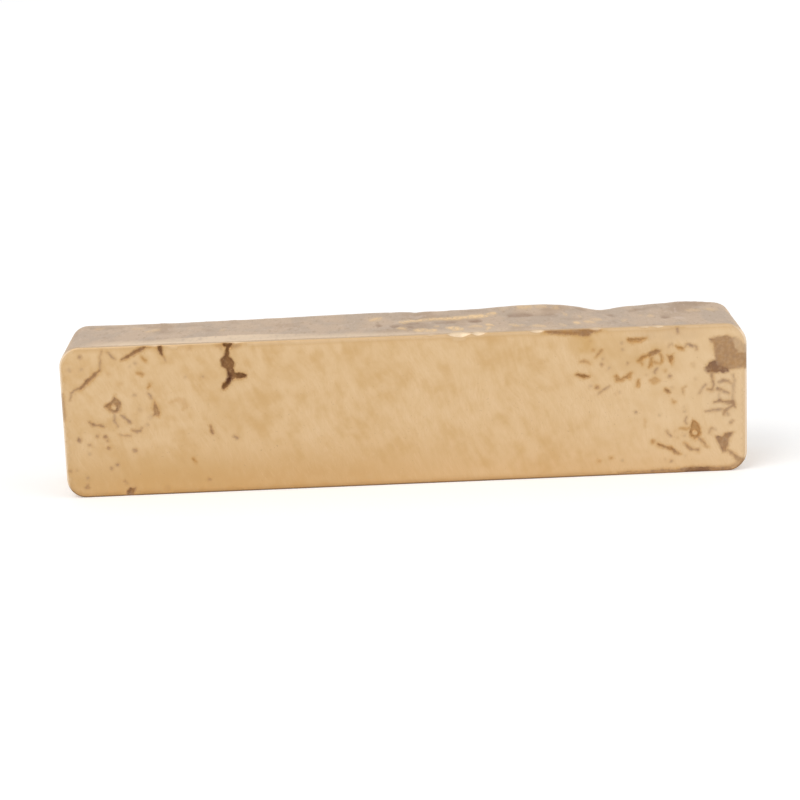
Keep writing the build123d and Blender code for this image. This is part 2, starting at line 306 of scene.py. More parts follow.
RIGHT_MARKS = {
    "brown strip": patch(
        0.25, 0.78, 0.45, (-285, 20), (-285, 66), (-180, 78), (-80, 84), (0, 84), (25, 92), (60, 94),
        (95, 66), (170, 46), (172, 20)
    ),
    "upper stroke": stroke(0.3, 0.42, 0.7, (172, 203, 10), (150, 235, 11), (125, 262, 7)),
    "left arc": stroke(0.25, 0.4, 0.7, (5, 300, 8), (35, 290, 12), (70, 303, 9), (80, 318, 5)),
    "left dash": stroke(0.8, 0.8, 0.7, (-22, 400, 10), (0, 405, 16), (35, 415, 16), (68, 412, 8)),
    "amber pit": stroke(
        0.8, 0.6, 0.9, (390, 118, 15), (425, 128, 20), (475, 124, 19), (515, 110, 8), (530, 104, 4)
    ),
    "its dark end": stroke(0.8, 0.8, 0.5, (465, 128, 11), (492, 122, 10)),
    "upright mark": stroke(0.3, 0.42, 0.0, (778, 28, 10), (781, 60, 12)),
    "hook": stroke(0.1, 0.28, 0.1, (708, 180, 6), (715, 160, 8), (735, 150, 8), (742, 172, 5)),
    "amber knot": stroke(0.5, 0.6, 0.8, (775, 172, 10), (800, 184, 20), (822, 190, 12)),
    "streak beside it": stroke(
        0.3, 0.48, 0.1, (832, 178, 6), (855, 155, 10), (882, 160, 15), (905, 172, 9), (925, 165, 7),
        (932, 192, 9)
    ),
    "cluster, left lobe": stroke(
        0.7, 0.6, 0.8, (470, 288, 15), (492, 270, 20), (520, 252, 16), (545, 242, 13)
    ),
    "cluster, foot": stroke(0.4, 0.45, 1.0, (480, 290, 10), (500, 312, 9)),
    "cluster, arch": stroke(
        0.7, 0.76, 0.45, (555, 245, 14), (580, 226, 22), (610, 214, 17), (636, 213, 10)
    ),
    "cluster, right side": stroke(
        0.5, 0.5, 0.9, (640, 226, 10), (655, 262, 9), (656, 292, 13), (640, 310, 7)
    ),
    "cluster, stem": stroke(0.5, 0.52, 0.9, (575, 262, 11), (573, 290, 16), (566, 325, 15), (552, 338, 8)),
    "cluster, floor": stroke(0.2, 0.33, 0.9, (580, 300, 8), (610, 308, 9), (640, 304, 8)),
    "drop": patch(
        0.7, 0.55, 0.8, (690, 238), (712, 248), (740, 234), (750, 268), (738, 318), (718, 292),
        (702, 262)
    ),
    "dash below the cluster": stroke(0.25, 0.4, 0.1, (614, 348, 8), (606, 366, 11), (600, 384, 8)),
    "twin pits": stroke(
        0.6, 0.52, 0.85, (288, 412, 12), (305, 438, 23), (335, 442, 16), (358, 424, 16),
        (390, 412, 24), (408, 388, 12)
    ),
    "amber drop": stroke(0.6, 0.5, 1.0, (468, 440, 9), (464, 470, 17), (460, 490, 12)),
    "amber star": patch(
        0.15, 0.3, 1.0, (548, 440), (575, 425), (598, 412), (625, 425), (648, 440), (625, 462),
        (600, 480), (578, 470), (556, 460)
    ),
    "right ring": patch(
        0.3, 0.4, 0.9, (585, 296), (600, 286), (618, 296), (640, 300), (630, 316), (600, 318)
    ),
    "slanted stroke": stroke(0.2, 0.35, 0.2, (150, 547, 6), (178, 525, 9), (205, 510, 12), (240, 490, 6)),
    "dark dash": stroke(0.6, 0.75, 0.5, (685, 518, 12), (708, 534, 13), (718, 540, 8)),
    "small hook": stroke(0.2, 0.36, 0.4, (842, 492, 7), (822, 512, 13), (826, 542, 10)),
    "amber line": stroke(0.05, 0.18, 0.9, (525, 755, 9), (522, 812, 9)),
    "dash at the middle": stroke(0.25, 0.4, 0.2, (690, 845, 7), (700, 862, 11), (722, 886, 13)),
    "blob": patch(
        0.8, 0.55, 0.8, (905, 752), (925, 760), (945, 790), (966, 822), (972, 870), (950, 905),
        (920, 920), (888, 900), (873, 860), (880, 830), (890, 790)
    ),
    "blob, left tail": stroke(0.25, 0.4, 0.9, (875, 825, 11), (845, 832, 13), (795, 830, 8)),
    "blob, upper tail": stroke(0.2, 0.32, 0.3, (852, 738, 11), (840, 765, 10), (850, 790, 8)),
    "blob, lower tail": stroke(
        0.4, 0.5, 0.4, (945, 900, 12), (968, 916, 12), (985, 937, 14), (1005, 965, 9), (1020, 975, 6)
    ),
    "stroke below the blob": stroke(
        0.45, 0.52, 0.4, (832, 944, 9), (852, 962, 13), (885, 988, 15), (915, 1000, 8),
        (945, 1002, 13)
    ),
    "long low stroke": stroke(
        0.7, 0.68, 0.5, (620, 950, 8), (640, 966, 14), (690, 976, 10), (728, 990, 19), (765, 1016, 13),
        (802, 1032, 5)
    ),
    "corner patch": patch(
        0.14, 0.57, 0.3, (1045, 110), (1100, 90), (1180, 85), (1230, 100), (1245, 180), (1275, 215),
        (1370, 215), (1370, 340), (1240, 347), (1190, 356), (1140, 340), (1085, 318), (1078, 240),
        (1070, 170)
    ),
    "haze beside it": patch(
        0.0, 0.22, 0.1, (1200, 90), (1270, 105), (1325, 160), (1372, 225), (1270, 230), (1240, 180)
    ),
    "its dark corner": patch(
        0.35, 0.6, 0.2, (1036, 106), (1068, 104), (1085, 128), (1070, 150), (1052, 148)
    ),
    "dark hollow": patch(
        0.35, 0.82, 0.15, (1030, 300), (1060, 285), (1100, 284), (1150, 308), (1190, 345), (1195, 372),
        (1150, 385), (1100, 378), (1050, 388), (1015, 378), (1000, 340), (1018, 325)
    ),
    "tail of the dark hollow": stroke(
        0.35, 0.46, 0.2, (1056, 385, 17), (1060, 425, 13), (1066, 470, 11), (1062, 510, 9)
    ),
    "crackle, stem": stroke(0.3, 0.48, 0.3, (1020, 515, 9), (1046, 520, 16), (1068, 520, 9)),
    "crackle, left stroke": stroke(0.15, 0.32, 0.1, (1008, 478, 12), (978, 503, 10), (955, 545, 10)),
    "crackle, first": stroke(
        0.25, 0.44, 0.15, (1112, 455, 10), (1148, 443, 13), (1195, 455, 11), (1215, 470, 7)
    ),
    "crackle, second": stroke(0.25, 0.46, 0.15, (1096, 512, 15), (1140, 524, 12), (1188, 546, 11)),
    "crackle, third": stroke(
        0.4, 0.56, 0.2, (1078, 618, 9), (1120, 602, 14), (1150, 614, 11), (1190, 618, 17),
        (1222, 618, 20), (1240, 655, 11)
    ),
    "crackle, fourth": stroke(
        0.35, 0.5, 0.2, (1225, 640, 12), (1188, 666, 13), (1155, 690, 15), (1150, 716, 10)
    ),
    "crackle, fifth": stroke(
        0.2, 0.38, 0.15, (1005, 692, 9), (1060, 685, 12), (1110, 675, 12), (1145, 672, 8)
    ),
    "crackle, sixth": stroke(0.2, 0.34, 0.1, (1172, 700, 8), (1190, 722, 9)),
    "crackle, right side": stroke(0.0, 0.2, 0.1, (1235, 440, 15), (1225, 520, 12), (1222, 590, 14)),
    "crackle, left side": stroke(0.0, 0.14, 0.1, (1120, 540, 10), (1105, 580, 10)),
    "crackle, dash": stroke(0.15, 0.28, 0.1, (1222, 400, 9), (1228, 425, 10)),
    "low dash": stroke(0.25, 0.38, 0.1, (1222, 765, 9), (1206, 785, 11)),
    "dash above the low hollow": stroke(0.2, 0.38, 0.2, (1052, 825, 11), (1036, 862, 8)),
    "low hollow": patch(
        0.35, 0.66, 0.25, (1082, 890), (1105, 885), (1135, 895), (1160, 860), (1232, 856), (1195, 905),
        (1187, 960), (1172, 1010), (1138, 1022), (1118, 965), (1095, 930)
    ),
    "crack to the corner": stroke(
        0.35, 0.5, 0.3, (1180, 995, 8), (1215, 1025, 12), (1255, 1060, 18), (1292, 1092, 24)
    ),
    "shade of the corner": stroke(0.0, 0.36, 0.4, (1290, 1080, 26), (1262, 1112, 24), (1200, 1138, 14)),
    # The darkness of the next three marks along the lower edge is painted shade of the rounded underside
    # edge; the first is also a shallow notch
    "under notch": patch(
        0.3, 0.85, 0.2, (825, 1190), (850, 1154), (900, 1140), (960, 1130), (1030, 1134), (1070, 1190)
    ),
    "painted shade beside the notch": stroke(
        0.0, 0.85, 0.3, (780, 1160, 8), (860, 1152, 14), (960, 1146, 16), (1060, 1146, 13),
        (1162, 1150, 6)
    ),
    "painted shade of the lower edge": stroke(
        0.0, 0.7, 0.3, (300, 1184, 5), (600, 1170, 9), (800, 1160, 13), (940, 1150, 16),
        (1040, 1150, 14), (1200, 1146, 16)
    ),
}
# Dots of the right end: (across, down, radius, depth, dark, amber)
RIGHT_DOTS = [
    (80, 130, 13, 0.0, 0.2, 0.5),
    (104, 201, 16, 0.2, 0.35, 0.9),
    (173, 317, 15, 0.35, 0.5, 0.3),
    (186, 271, 9, 0.05, 0.2, 0.1),
    (232, 348, 13, 0.05, 0.24, 0.0),
    (383, 308, 15, 0.2, 0.35, 0.2),
    (335, 146, 12, 0.05, 0.2, 0.0),
    (342, 198, 14, 0.05, 0.2, 0.0),
    (678, 365, 13, 0.05, 0.3, 1.0),
    (720, 409, 17, 0.3, 0.46, 0.1),
    (530, 398, 8, 0.0, 0.15, 0.5),
    (135, 500, 19, 0.5, 0.72, 0.4),
    (88, 490, 12, 0.05, 0.2, 0.0),
    (318, 538, 12, 0.05, 0.2, 0.3),
    (283, 553, 9, 0.0, 0.15, 0.3),
    (750, 614, 17, 0.35, 0.5, 0.8),
    (738, 598, 8, 0.15, 0.3, 0.5),
    (445, 700, 15, 0.25, 0.4, 0.1),
    (638, 720, 11, 0.0, 0.16, 0.0),
    (836, 690, 13, 0.05, 0.2, 0.0),
    (830, 660, 9, 0.0, 0.12, 0.0),
    (836, 884, 12, 0.05, 0.18, 0.2),
    (780, 902, 10, 0.0, 0.12, 0.6),
    (760, 850, 12, 0.0, 0.12, 0.6),
    (583, 934, 17, 0.4, 0.6, 0.8),
    (1082, 834, 11, 0.05, 0.2, 0.1),
    (155, 1090, 16, 0.15, 0.32, 1.0),
    (248, 1064, 18, 0.2, 0.4, 1.0),
    (340, 1081, 12, 0.0, 0.18, 0.3),
    (728, 1088, 15, 0.15, 0.32, 0.2),
    (685, 1075, 11, 0.0, 0.16, 0.1),
    (845, 1042, 12, 0.0, 0.14, 0.3),
    (905, 320, 18, 0.0, 0.12, 0.5),
    (740, 500, 12, 0.0, 0.14, 0.4),
    (925, 430, 16, 0.0, 0.12, 0.2),
    (1285, 300, 40, 0.0, 0.1, 0.2),
    (1010, 360, 14, 0.2, 0.4, 0.1),
]
# Metal left standing in the right end's cluster and blob: (across, down, radius)
RIGHT_ISLANDS = [(608, 262, 18), (920, 868, 17)]

# Broad faint stains of the ground face: (across, down, reach across, reach down, strength, amber)
LEFT_STAINS = [
    (1000, 1130, 520, 150, 0.42, 0.9),
    (1330, 500, 160, 420, 0.18, 0.9),
    (250, 1150, 300, 90, 0.26, 0.8),
    (70, 760, 90, 420, 0.24, 0.7),
]
RIGHT_STAINS = [
    (20, 150, 120, 90, 0.9, 1.0),
    (560, 270, 260, 150, 0.5, 0.8),
    (260, 180, 200, 120, 0.4, 0.9),
    (900, 870, 190, 160, 0.2, 0.9),
    (1140, 560, 130, 200, 0.22, 0.1),
    (700, 70, 300, 70, 0.6, 0.3),
    (500, 1120, 700, 60, 0.22, 0.8),
]


def read_off(corner, across, down):
    """Place on the ground face of a pixel of an enlargement."""
    return on_face(corner[0] + across / ENLARGED, corner[1] + down / ENLARGED)


# How much of its own depth and darkness a dot keeps, and how much of its depth a patch and a stroke is sunk
DOT_SUNK, DOT_DARK = 0.6, 0.84
PATCH_SUNK, STROKE_SUNK = 0.6, 0.4


def read_marks():
    """Every mark and dot, with its points in mm on the ground face."""
    found = []
    for corner, marks, dots in (
        (LEFT_CORNER, LEFT_MARKS, LEFT_DOTS),
        (RIGHT_CORNER, RIGHT_MARKS, RIGHT_DOTS),
    ):
        everything = list(marks.values())
        for across, down, radius, deep, dark, amber in dots:
            everything.append(stroke(DOT_SUNK * deep, DOT_DARK * dark, amber, (across, down, radius)))
        for mark in everything:
            points = []
            for across, down, *radius in mark.points:
                x, v = read_off(corner, across, down)
                points.append([x, v] + [r / ENLARGED * PIXEL_MM for r in radius])
            found.append(mark._replace(points=np.array(points)))
    return found


def read_islands():
    """Metal left standing in ring-shaped pits, as (x, height, radius) in mm."""
    found = []
    for corner, islands in ((LEFT_CORNER, LEFT_ISLANDS), (RIGHT_CORNER, RIGHT_ISLANDS)):
        for across, down, radius in islands:
            found.append((*read_off(corner, across, down), radius / ENLARGED * PIXEL_MM))
    return found


# Size of one pixel on the ground face, from two pixels a hundred apart
PIXEL_MM = (on_face(450, 400)[0] - on_face(350, 400)[0]) / 100
MARKS = read_marks()
ISLANDS = read_islands()
# Distance in mm at which a mark no longer counts
FAR = 1.5
# How far noise pushes the outlines of marks about in mm, and how wide its lumps are
RAGGED_REACH, RAGGED_SIZE = 0.17, 0.75
# How uneven the floors of hollows are as a share of their depth, and how wide the lumps are in mm
UNEVEN_SHARE, UNEVEN_SIZE = 0.2, 0.6
# Width in mm of the slope into a hollow, what each mm of depth adds to it, and how far outside it starts
SLOPE_WIDTH, SLOPE_GROWTH, SLOPE_OUTSIDE = 0.36, 0.12, 0.05
# Distance in mm over which one mark's oxide passes into the next one's, and how far inside it is still told
BLEND_WIDTH, BLEND_INSIDE = 0.12, 0.5
# Weight of plain metal, which counts as half amber, among the marks and among the stains
PLAIN_BY_MARKS, PLAIN_BY_STAINS = 1e-6, 1e-3
# How much of a stain's strength comes and goes, over how many mm, and where it ends as a share of its reach
STAIN_WANDER, STAIN_SIZE, STAIN_END = 0.45, 3.5, 1.4


def segment_distance(x, v, a, b):
    """Distance of each place from a straight piece, and the share of it at which the nearest point lies."""
    step_x, step_v = b[0] - a[0], b[1] - a[1]
    squared_length = max(step_x**2 + step_v**2, 1e-9)
    along = np.clip(((x - a[0]) * step_x + (v - a[1]) * step_v) / squared_length, 0, 1)
    return np.hypot(x - a[0] - along * step_x, v - a[1] - along * step_v), along


def stroke_distance(x, v, points):
    """How far outside a stroke each place is: negative inside."""
    best = np.full(len(x), math.inf)
    for a, b in zip(points, np.concatenate([points[1:], points[-1:]])):
        gap, along = segment_distance(x, v, a, b)
        best = np.minimum(best, gap - a[2] - along * (b[2] - a[2]))
    return best


def outline_distance(x, v, points):
    """How far outside an outline each place is: negative inside."""
    best = np.full(len(x), math.inf)
    inside = np.zeros(len(x), bool)
    for a, b in zip(points, np.roll(points, -1, axis=0)):
        best = np.minimum(best, segment_distance(x, v, a, b)[0])
        if b[1] != a[1]:
            crosses = (a[1] > v) != (b[1] > v)
            inside ^= crosses & (x < a[0] + (v - a[1]) / (b[1] - a[1]) * (b[0] - a[0]))
    return np.where(inside, -best, best)


Face = namedtuple("Face", "gap depth dark amber")


def read_face(x, v):
    """For places on the ground face: how far outside a mark they are, and its depth, darkness and amber."""
    ragged_x = x + RAGGED_REACH * rough(x / RAGGED_SIZE, v / RAGGED_SIZE, 3.3, seed=5)
    ragged_v = v + RAGGED_REACH * rough(x / RAGGED_SIZE, v / RAGGED_SIZE, 7.7, seed=9)
    uneven = 1 + UNEVEN_SHARE * rough(x / UNEVEN_SIZE, v / UNEVEN_SIZE, 5.5, seed=15, layers=2)
    near = np.full(len(x), FAR)
    depth = np.zeros(len(x))
    weight_sum = np.full(len(x), PLAIN_BY_MARKS)
    dark_sum = np.zeros(len(x))
    amber_sum = weight_sum / 2
    for mark in MARKS:
        low = mark.points[:, :2].min(axis=0) - FAR
        high = mark.points[:, :2].max(axis=0) + FAR
        chosen = np.nonzero((x > low[0]) & (x < high[0]) & (v > low[1]) & (v < high[1]))[0]
        if not len(chosen):
            continue
        measure = outline_distance if mark.closed else stroke_distance
        gap = measure(ragged_x[chosen], ragged_v[chosen], mark.points)
        for island_x, island_v, radius in ISLANDS:
            apart = radius - np.hypot(ragged_x[chosen] - island_x, ragged_v[chosen] - island_v)
            gap = np.maximum(gap, apart)
        near[chosen] = np.minimum(near[chosen], gap)
        slope = SLOPE_WIDTH + SLOPE_GROWTH * mark.deep
        share = PATCH_SUNK if mark.closed else STROKE_SUNK
        sunk = share * mark.deep * smooth(-SLOPE_OUTSIDE, slope, -gap) * uneven[chosen]
        depth[chosen] = np.maximum(depth[chosen], sunk)
        weight = mark.dark * np.exp(-np.clip(gap, -BLEND_INSIDE, FAR) / BLEND_WIDTH)
        weight_sum[chosen] += weight
        dark_sum[chosen] += weight * mark.dark
        amber_sum[chosen] += weight * mark.amber
    return Face(near, depth, dark_sum / weight_sum, amber_sum / weight_sum)


def read_stain(x, v):
    """For places on the ground face: strength of the broad stains there, and how amber they are."""
    wander = 1 + STAIN_WANDER * rough(x / STAIN_SIZE, v / STAIN_SIZE, 2.2, seed=17)
    strength = np.zeros(len(x))
    weight_sum = np.full(len(x), PLAIN_BY_STAINS)
    amber_sum = weight_sum / 2
    for corner, stains in ((LEFT_CORNER, LEFT_STAINS), (RIGHT_CORNER, RIGHT_STAINS)):
        for across, down, reach_across, reach_down, strong, amber in stains:
            middle_x, middle_v = read_off(corner, across, down)
            wide, tall = (reach / ENLARGED * PIXEL_MM for reach in (reach_across, reach_down))
            apart = np.hypot((x - middle_x) / wide, (v - middle_v) / tall)
            share = strong * smooth(0, 1, STAIN_END - apart) * wander
            strength = np.maximum(strength, share)
            weight_sum += share
            amber_sum += share * amber
    return np.clip(strength, 0, 1), amber_sum / weight_sum


# The form of the casting


def widened(depth):
    """How far the mould's draft has moved a wall out at a depth."""
    return depth * math.tan(DRAFT)


def wave_share(depth):
    """How much of the crest's waves shows at a depth."""
    return curve(REACH_SHARES, REACH_WAVES, np.asarray(depth) / DEPTH)


def top_height(x, depth):
    """Height of the top side along the leaning planes."""
    middle = (HEIGHT_LEFT + HEIGHT_RIGHT) / 2 + 2 * widened(depth)
    slope = (HEIGHT_RIGHT - HEIGHT_LEFT) / LENGTH
    places = [RADIUS_TOP_LEFT / LENGTH - 0.5] + CREST_SHARES + [0.5 - RADIUS_TOP_RIGHT / LENGTH]
    waves = curve(np.array(places) * LENGTH, [0.0] + CREST_RISES + [0.0], x)
    return middle + slope * x + wave_share(depth) * waves


# Steps of the outline along each end, each corner, the bottom and the top
SIDE_STEPS, CORNER_STEPS, BOTTOM_STEPS, TOP_STEPS = 70, 10, 170, 430


def end_outline(side, depth):
    """One end of the outline from foot to shoulder: side is 1 for the right end and -1 for the left."""
    right = side > 0
    lean = LEAN_RIGHT if right else LEAN_LEFT
    foot_radius = RADIUS_BOTTOM_RIGHT if right else RADIUS_BOTTOM_LEFT
    shoulder_radius = RADIUS_TOP_RIGHT if right else RADIUS_TOP_LEFT
    half = LENGTH / 2 + float(widened(depth))
    top = (HEIGHT_RIGHT if right else HEIGHT_LEFT) + 2 * float(widened(depth))

    def arc(middle_x, middle_v, radius, start, end):
        turn = np.linspace(start, end, CORNER_STEPS + 1)
        return np.stack([middle_x + radius * np.cos(turn), middle_v + radius * np.sin(turn)], 1)

    foot = arc(half - foot_radius, foot_radius, foot_radius, -math.pi / 2, lean)
    low_x, low = foot[-1]
    high = top - shoulder_radius * (1 - math.sin(lean))
    high_x = low_x - (high - low) * math.tan(lean)
    rise = np.linspace(0, 1, SIDE_STEPS + 1)[1:-1]
    wall = np.stack([low_x + rise * (high_x - low_x), low + rise * (high - low)], 1)
    shoulder_x = high_x - shoulder_radius * math.cos(lean)
    shoulder = arc(shoulder_x, top - shoulder_radius, shoulder_radius, lean, math.pi / 2)
    return np.concatenate([foot, wall, shoulder]) * (side, 1)


def outline(depth):
    """The bar's outline at a depth, anticlockwise from the lower left, as an array of (x, height)."""
    right, left = end_outline(1, depth), end_outline(-1, depth)
    bottom = np.linspace(left[0, 0], right[0, 0], BOTTOM_STEPS, endpoint=False)
    top = np.linspace(right[-1, 0], left[-1, 0], TOP_STEPS, endpoint=False)
    foot = np.stack([bottom, 0 * bottom], 1)
    crest = np.stack([top, top_height(top, depth)], 1)
    return np.concatenate([foot, right[:-1], crest, left[::-1][:-1]])


def outward(ring):
    """Outward direction at each point of an outline."""
    along = np.roll(ring, -1, axis=0) - np.roll(ring, 1, axis=0)
    along /= np.linalg.norm(along, axis=1, keepdims=True)
    return np.stack([along[:, 1], -along[:, 0]], 1)


def place(x, v, depth):
    """Row-frame points in metres for places given along the leaning planes."""
    y = FRONT_Y + depth / math.cos(DRAFT) - v * math.sin(DRAFT)
    return np.stack([x, y, v * math.cos(DRAFT)], -1) * MM


def sink(x, v):
    """Depth of the shrinkage hollow in the poured side."""
    half = SINK_REACH * LENGTH
    along = -SINK_DEPTH + (SINK_DEPTH + SINK_START) * (x / half) ** 2
    radius = (SINK_HEIGHT**2 / 4 + SINK_DEPTH**2) / (2 * SINK_DEPTH)
    off = v - HEIGHT_RIGHT / 2
    surface = radius - SINK_DEPTH - np.sqrt(np.maximum((radius - SINK_DEPTH - along) ** 2 - off**2, 0))
    return np.maximum(-surface, 0)


# Marks of the top side, read from eightfold enlargements as those of the ground face are. Each has a strength
# from 0 to 1, and then a row of (across, down, half height) in enlarged pixels.
TOP_LEFT_CORNER = (60, 312)
TOP_MIDDLE_CORNER = (360, 298)
TOP_RIGHT_CORNER = (560, 295)

# Streaks where bright metal shows through the skin
TOP_STREAKS = {
    TOP_LEFT_CORNER: [
        (0.3, (285, 140, 9), (345, 138, 9)),
        (0.25, (590, 140, 10), (660, 138, 10)),
        (0.35, (695, 162, 9), (740, 155, 14), (795, 150, 10)),
        (0.25, (1285, 150, 12), (1325, 148, 12)),
    ],
    TOP_MIDDLE_CORNER: [
        (0.55, (88, 188, 8), (110, 184, 11), (165, 176, 11)),
        (0.75, (312, 196, 10), (345, 196, 14), (400, 189, 11)),
        (0.8, (400, 190, 9), (480, 181, 10), (560, 175, 10), (640, 172, 12), (680, 168, 9)),
        (0.9, (680, 172, 9), (740, 168, 14), (800, 166, 13), (865, 160, 9)),
        (0.95, (868, 160, 8), (900, 154, 15), (950, 152, 14), (1000, 150, 8)),
        (0.9, (1028, 140, 8), (1055, 138, 12), (1085, 134, 8)),
        (0.6, (312, 243, 8), (345, 245, 12), (370, 248, 8)),
        (0.8, (425, 258, 7), (470, 258, 14), (520, 256, 10)),
        (0.75, (540, 262, 8), (575, 260, 15), (608, 256, 9)),
        (0.5, (588, 228, 6), (620, 228, 7)),
        (0.9, (698, 240, 9), (745, 244, 19), (790, 242, 14), (820, 246, 8)),
        (0.45, (880, 226, 7), (920, 222, 10), (960, 224, 6)),
        (0.75, (1008, 212, 8), (1035, 208, 11), (1060, 212, 7)),
        (0.7, (1015, 232, 9), (1030, 242, 12), (1042, 236, 7)),
        (0.5, (1210, 212, 8), (1255, 218, 12), (1300, 216, 8)),
        (0.5, (1370, 218, 7), (1420, 216, 12), (1472, 220, 7)),
        (0.45, (1262, 100, 11), (1320, 98, 15), (1378, 98, 10)),
        (0.4, (1412, 96, 10), (1455, 92, 14), (1500, 96, 10)),
        (0.35, (1540, 96, 9), (1585, 94, 12)),
        (0.25, (1140, 108, 9), (1180, 102, 9)),
    ],
    TOP_RIGHT_CORNER: [
        (0.45, (28, 155, 12), (55, 158, 10)),
        (0.4, (140, 165, 10), (153, 166, 9)),
        (0.75, (102, 218, 9), (122, 220, 13), (142, 220, 8)),
        (0.5, (205, 210, 9), (235, 208, 14), (268, 212, 8)),
        (0.4, (262, 192, 9), (295, 192, 13), (328, 190, 8)),
        (0.4, (5, 232, 14), (40, 236, 12)),
        (0.3, (498, 196, 8), (512, 200, 12), (524, 194, 8)),
        (0.25, (622, 158, 7), (655, 156, 7)),
        (0.42, (706, 160, 8), (724, 158, 14), (742, 160, 8)),
        (0.3, (1022, 122, 8), (1065, 118, 9), (1108, 116, 7)),
        (0.3, (1115, 108, 6), (1165, 104, 6)),
        (0.42, (1172, 110, 7), (1212, 108, 12), (1250, 104, 8)),
    ],
}
# Darker spots and grooves in the skin: partly darker skin, partly painted shade in the grooves
TOP_SHADES = {
    TOP_LEFT_CORNER: [
        (0.4, (240, 140, 8), (380, 136, 10), (520, 128, 8)),
        (0.25, (900, 120, 8), (1100, 112, 8)),
    ],
    TOP_MIDDLE_CORNER: [
        (0.8, (118, 220, 8), (140, 222, 13), (162, 224, 7)),
        (0.8, (256, 226, 9), (278, 230, 13), (300, 228, 8)),
        (0.6, (390, 232, 7), (428, 234, 8)),
        (0.6, (340, 212, 5), (460, 206, 6)),
        (0.65, (600, 202, 5), (680, 200, 6), (760, 196, 5)),
        (1.0, (882, 186, 6), (925, 184, 10), (970, 180, 6)),
        (0.75, (1180, 150, 9), (1250, 144, 15), (1330, 140, 15), (1390, 140, 9)),
        (0.35, (1400, 142, 10), (1560, 140, 12)),
        (0.3, (800, 125, 8), (1000, 112, 8)),
    ],
    TOP_RIGHT_CORNER: [
        (0.55, (118, 108, 10), (160, 110, 14), (205, 118, 10)),
        (0.7, (390, 152, 9), (410, 152, 14), (430, 154, 9)),
        (0.5, (555, 118, 9), (580, 114, 14), (620, 106, 9)),
        (0.35, (640, 106, 9), (780, 92, 9)),
        (0.75, (800, 170, 8), (835, 168, 16), (872, 168, 8)),
        (0.35, (860, 80, 8), (1100, 72, 8)),
        (0.3, (430, 200, 10), (445, 204, 10)),
        (0.3, (60, 190, 8), (180, 186, 8)),
    ],
}
# Pale spots of the skin
TOP_PALE = {
    TOP_RIGHT_CORNER: [
        (0.6, (930, 178, 10), (955, 176, 14), (975, 176, 9)),
    ],
    TOP_MIDDLE_CORNER: [
        (0.5, (400, 150, 12), (450, 150, 16), (480, 150, 10)),
        (0.4, (275, 200, 9), (300, 196, 11)),
    ],
}
# The part of the top side that grinding has rubbed: its outline, and (across, down, radius) of dull spots
TOP_RUBBED = [
    (700, 275), (700, 240), (850, 218), (1000, 212), (1180, 200), (1460, 184), (1700, 178), (2300, 168),
    (2300, 275),
]
TOP_DULL_SPOTS = [(905, 232, 12), (990, 229, 12), (1130, 216, 14), (1250, 205, 9), (790, 240, 8)]

# Bright chips along the front edge of the top side: (from, to, depth in mm)
CHIPS = {
    TOP_LEFT_CORNER: [
        (700, 800, 0.5),
        (1300, 1460, 0.4),
    ],
    TOP_MIDDLE_CORNER: [
        (500, 630, 0.4),
        (705, 885, 1.1),
        (900, 990, 0.8),
        (1368, 1462, 0.8),
    ],
    TOP_RIGHT_CORNER: [
        (238, 322, 0.7),
        (628, 722, 0.45),
        (735, 822, 0.6),
    ],
}
# Pixel row about which the chips lie
CHIP_ROW = 328
# How far a chip runs out past the places that were read in mm, how full its form is, and how ragged its depth
CHIP_RUNOUT, CHIP_FULLNESS = 0.5, 0.7
CHIP_MEAN, CHIP_NOISE, CHIP_SIZE = 0.9, 0.25, 0.9
# The strip bared along that edge in mm: its mean, its coarse and fine noise, their sizes, and its loss to
# the right between two places along the bar
BARED, BARED_COARSE, BARED_FINE = 0.42, 0.14, 0.06
BARED_COARSE_SIZE, BARED_FINE_SIZE = 2.6, 0.7
BARED_LOSS, BARED_LOSS_FROM, BARED_LOSS_TO = 0.08, 0.0, 50.0
# The same strip within a mm of either end
BARED_AT_END = 0.12
# Pixel columns of a small dent in the crest and of a low rise near its right end, and their pixel row
CREST_DENT = 415
CREST_RISE = 695
CREST_ROW = 307
# How much shorter depth looks than width on the top side
FORESHORTENED = math.sin(PITCH + 2 * DRAFT)
# How soft the border of a mark of the top side is, outside and inside it, in mm as the camera sees them
TOP_SOFT_OUTSIDE, TOP_SOFT_INSIDE = 0.32, 0.30
# Between these places along the bar the rubbed part fades in from the left and out to the right, in mm
RUB_FADES_IN, RUB_FADES_OUT = (-64.0, -44.0), (-40.0, -8.0)
# The rub right behind the front edge: its depth, and where along the bar it fades in and out, in mm
STRIP_DEPTH, STRIP_FADES_IN, STRIP_FADES_OUT = (1.2, 6.2), (-79.0, -64.0), (-40.0, 60.0)
# How soft the border of the rub is in mm, the shares of its radius between which a dull spot fades, and how
# much the spot takes off the rub
RUB_SOFT, SPOT_FADES, DULL_SHARE = (-0.12, 0.25), (1.4, 0.6), 0.5
# How ragged the marks of the top side are in mm along the bar and across it: reach, and size both ways
TOP_RAGGED_ALONG, TOP_RAGGED_ACROSS = (0.5, 1.6, 0.5), (0.09, 2.0, 0.45)


def passing(rise, fall, value):
    """1 between two ranges, with a soft rise through the first and a soft fall through the second."""
    return smooth(*rise, value) * (1 - smooth(*fall, value))


def squeezed(corner, across, down):
    """Place on the top side of a pixel of an enlargement: x, and depth as the camera sees it."""
    x, depth = on_top(corner[0] + across / ENLARGED, corner[1] + down / ENLARGED)
    return x, depth * FORESHORTENED


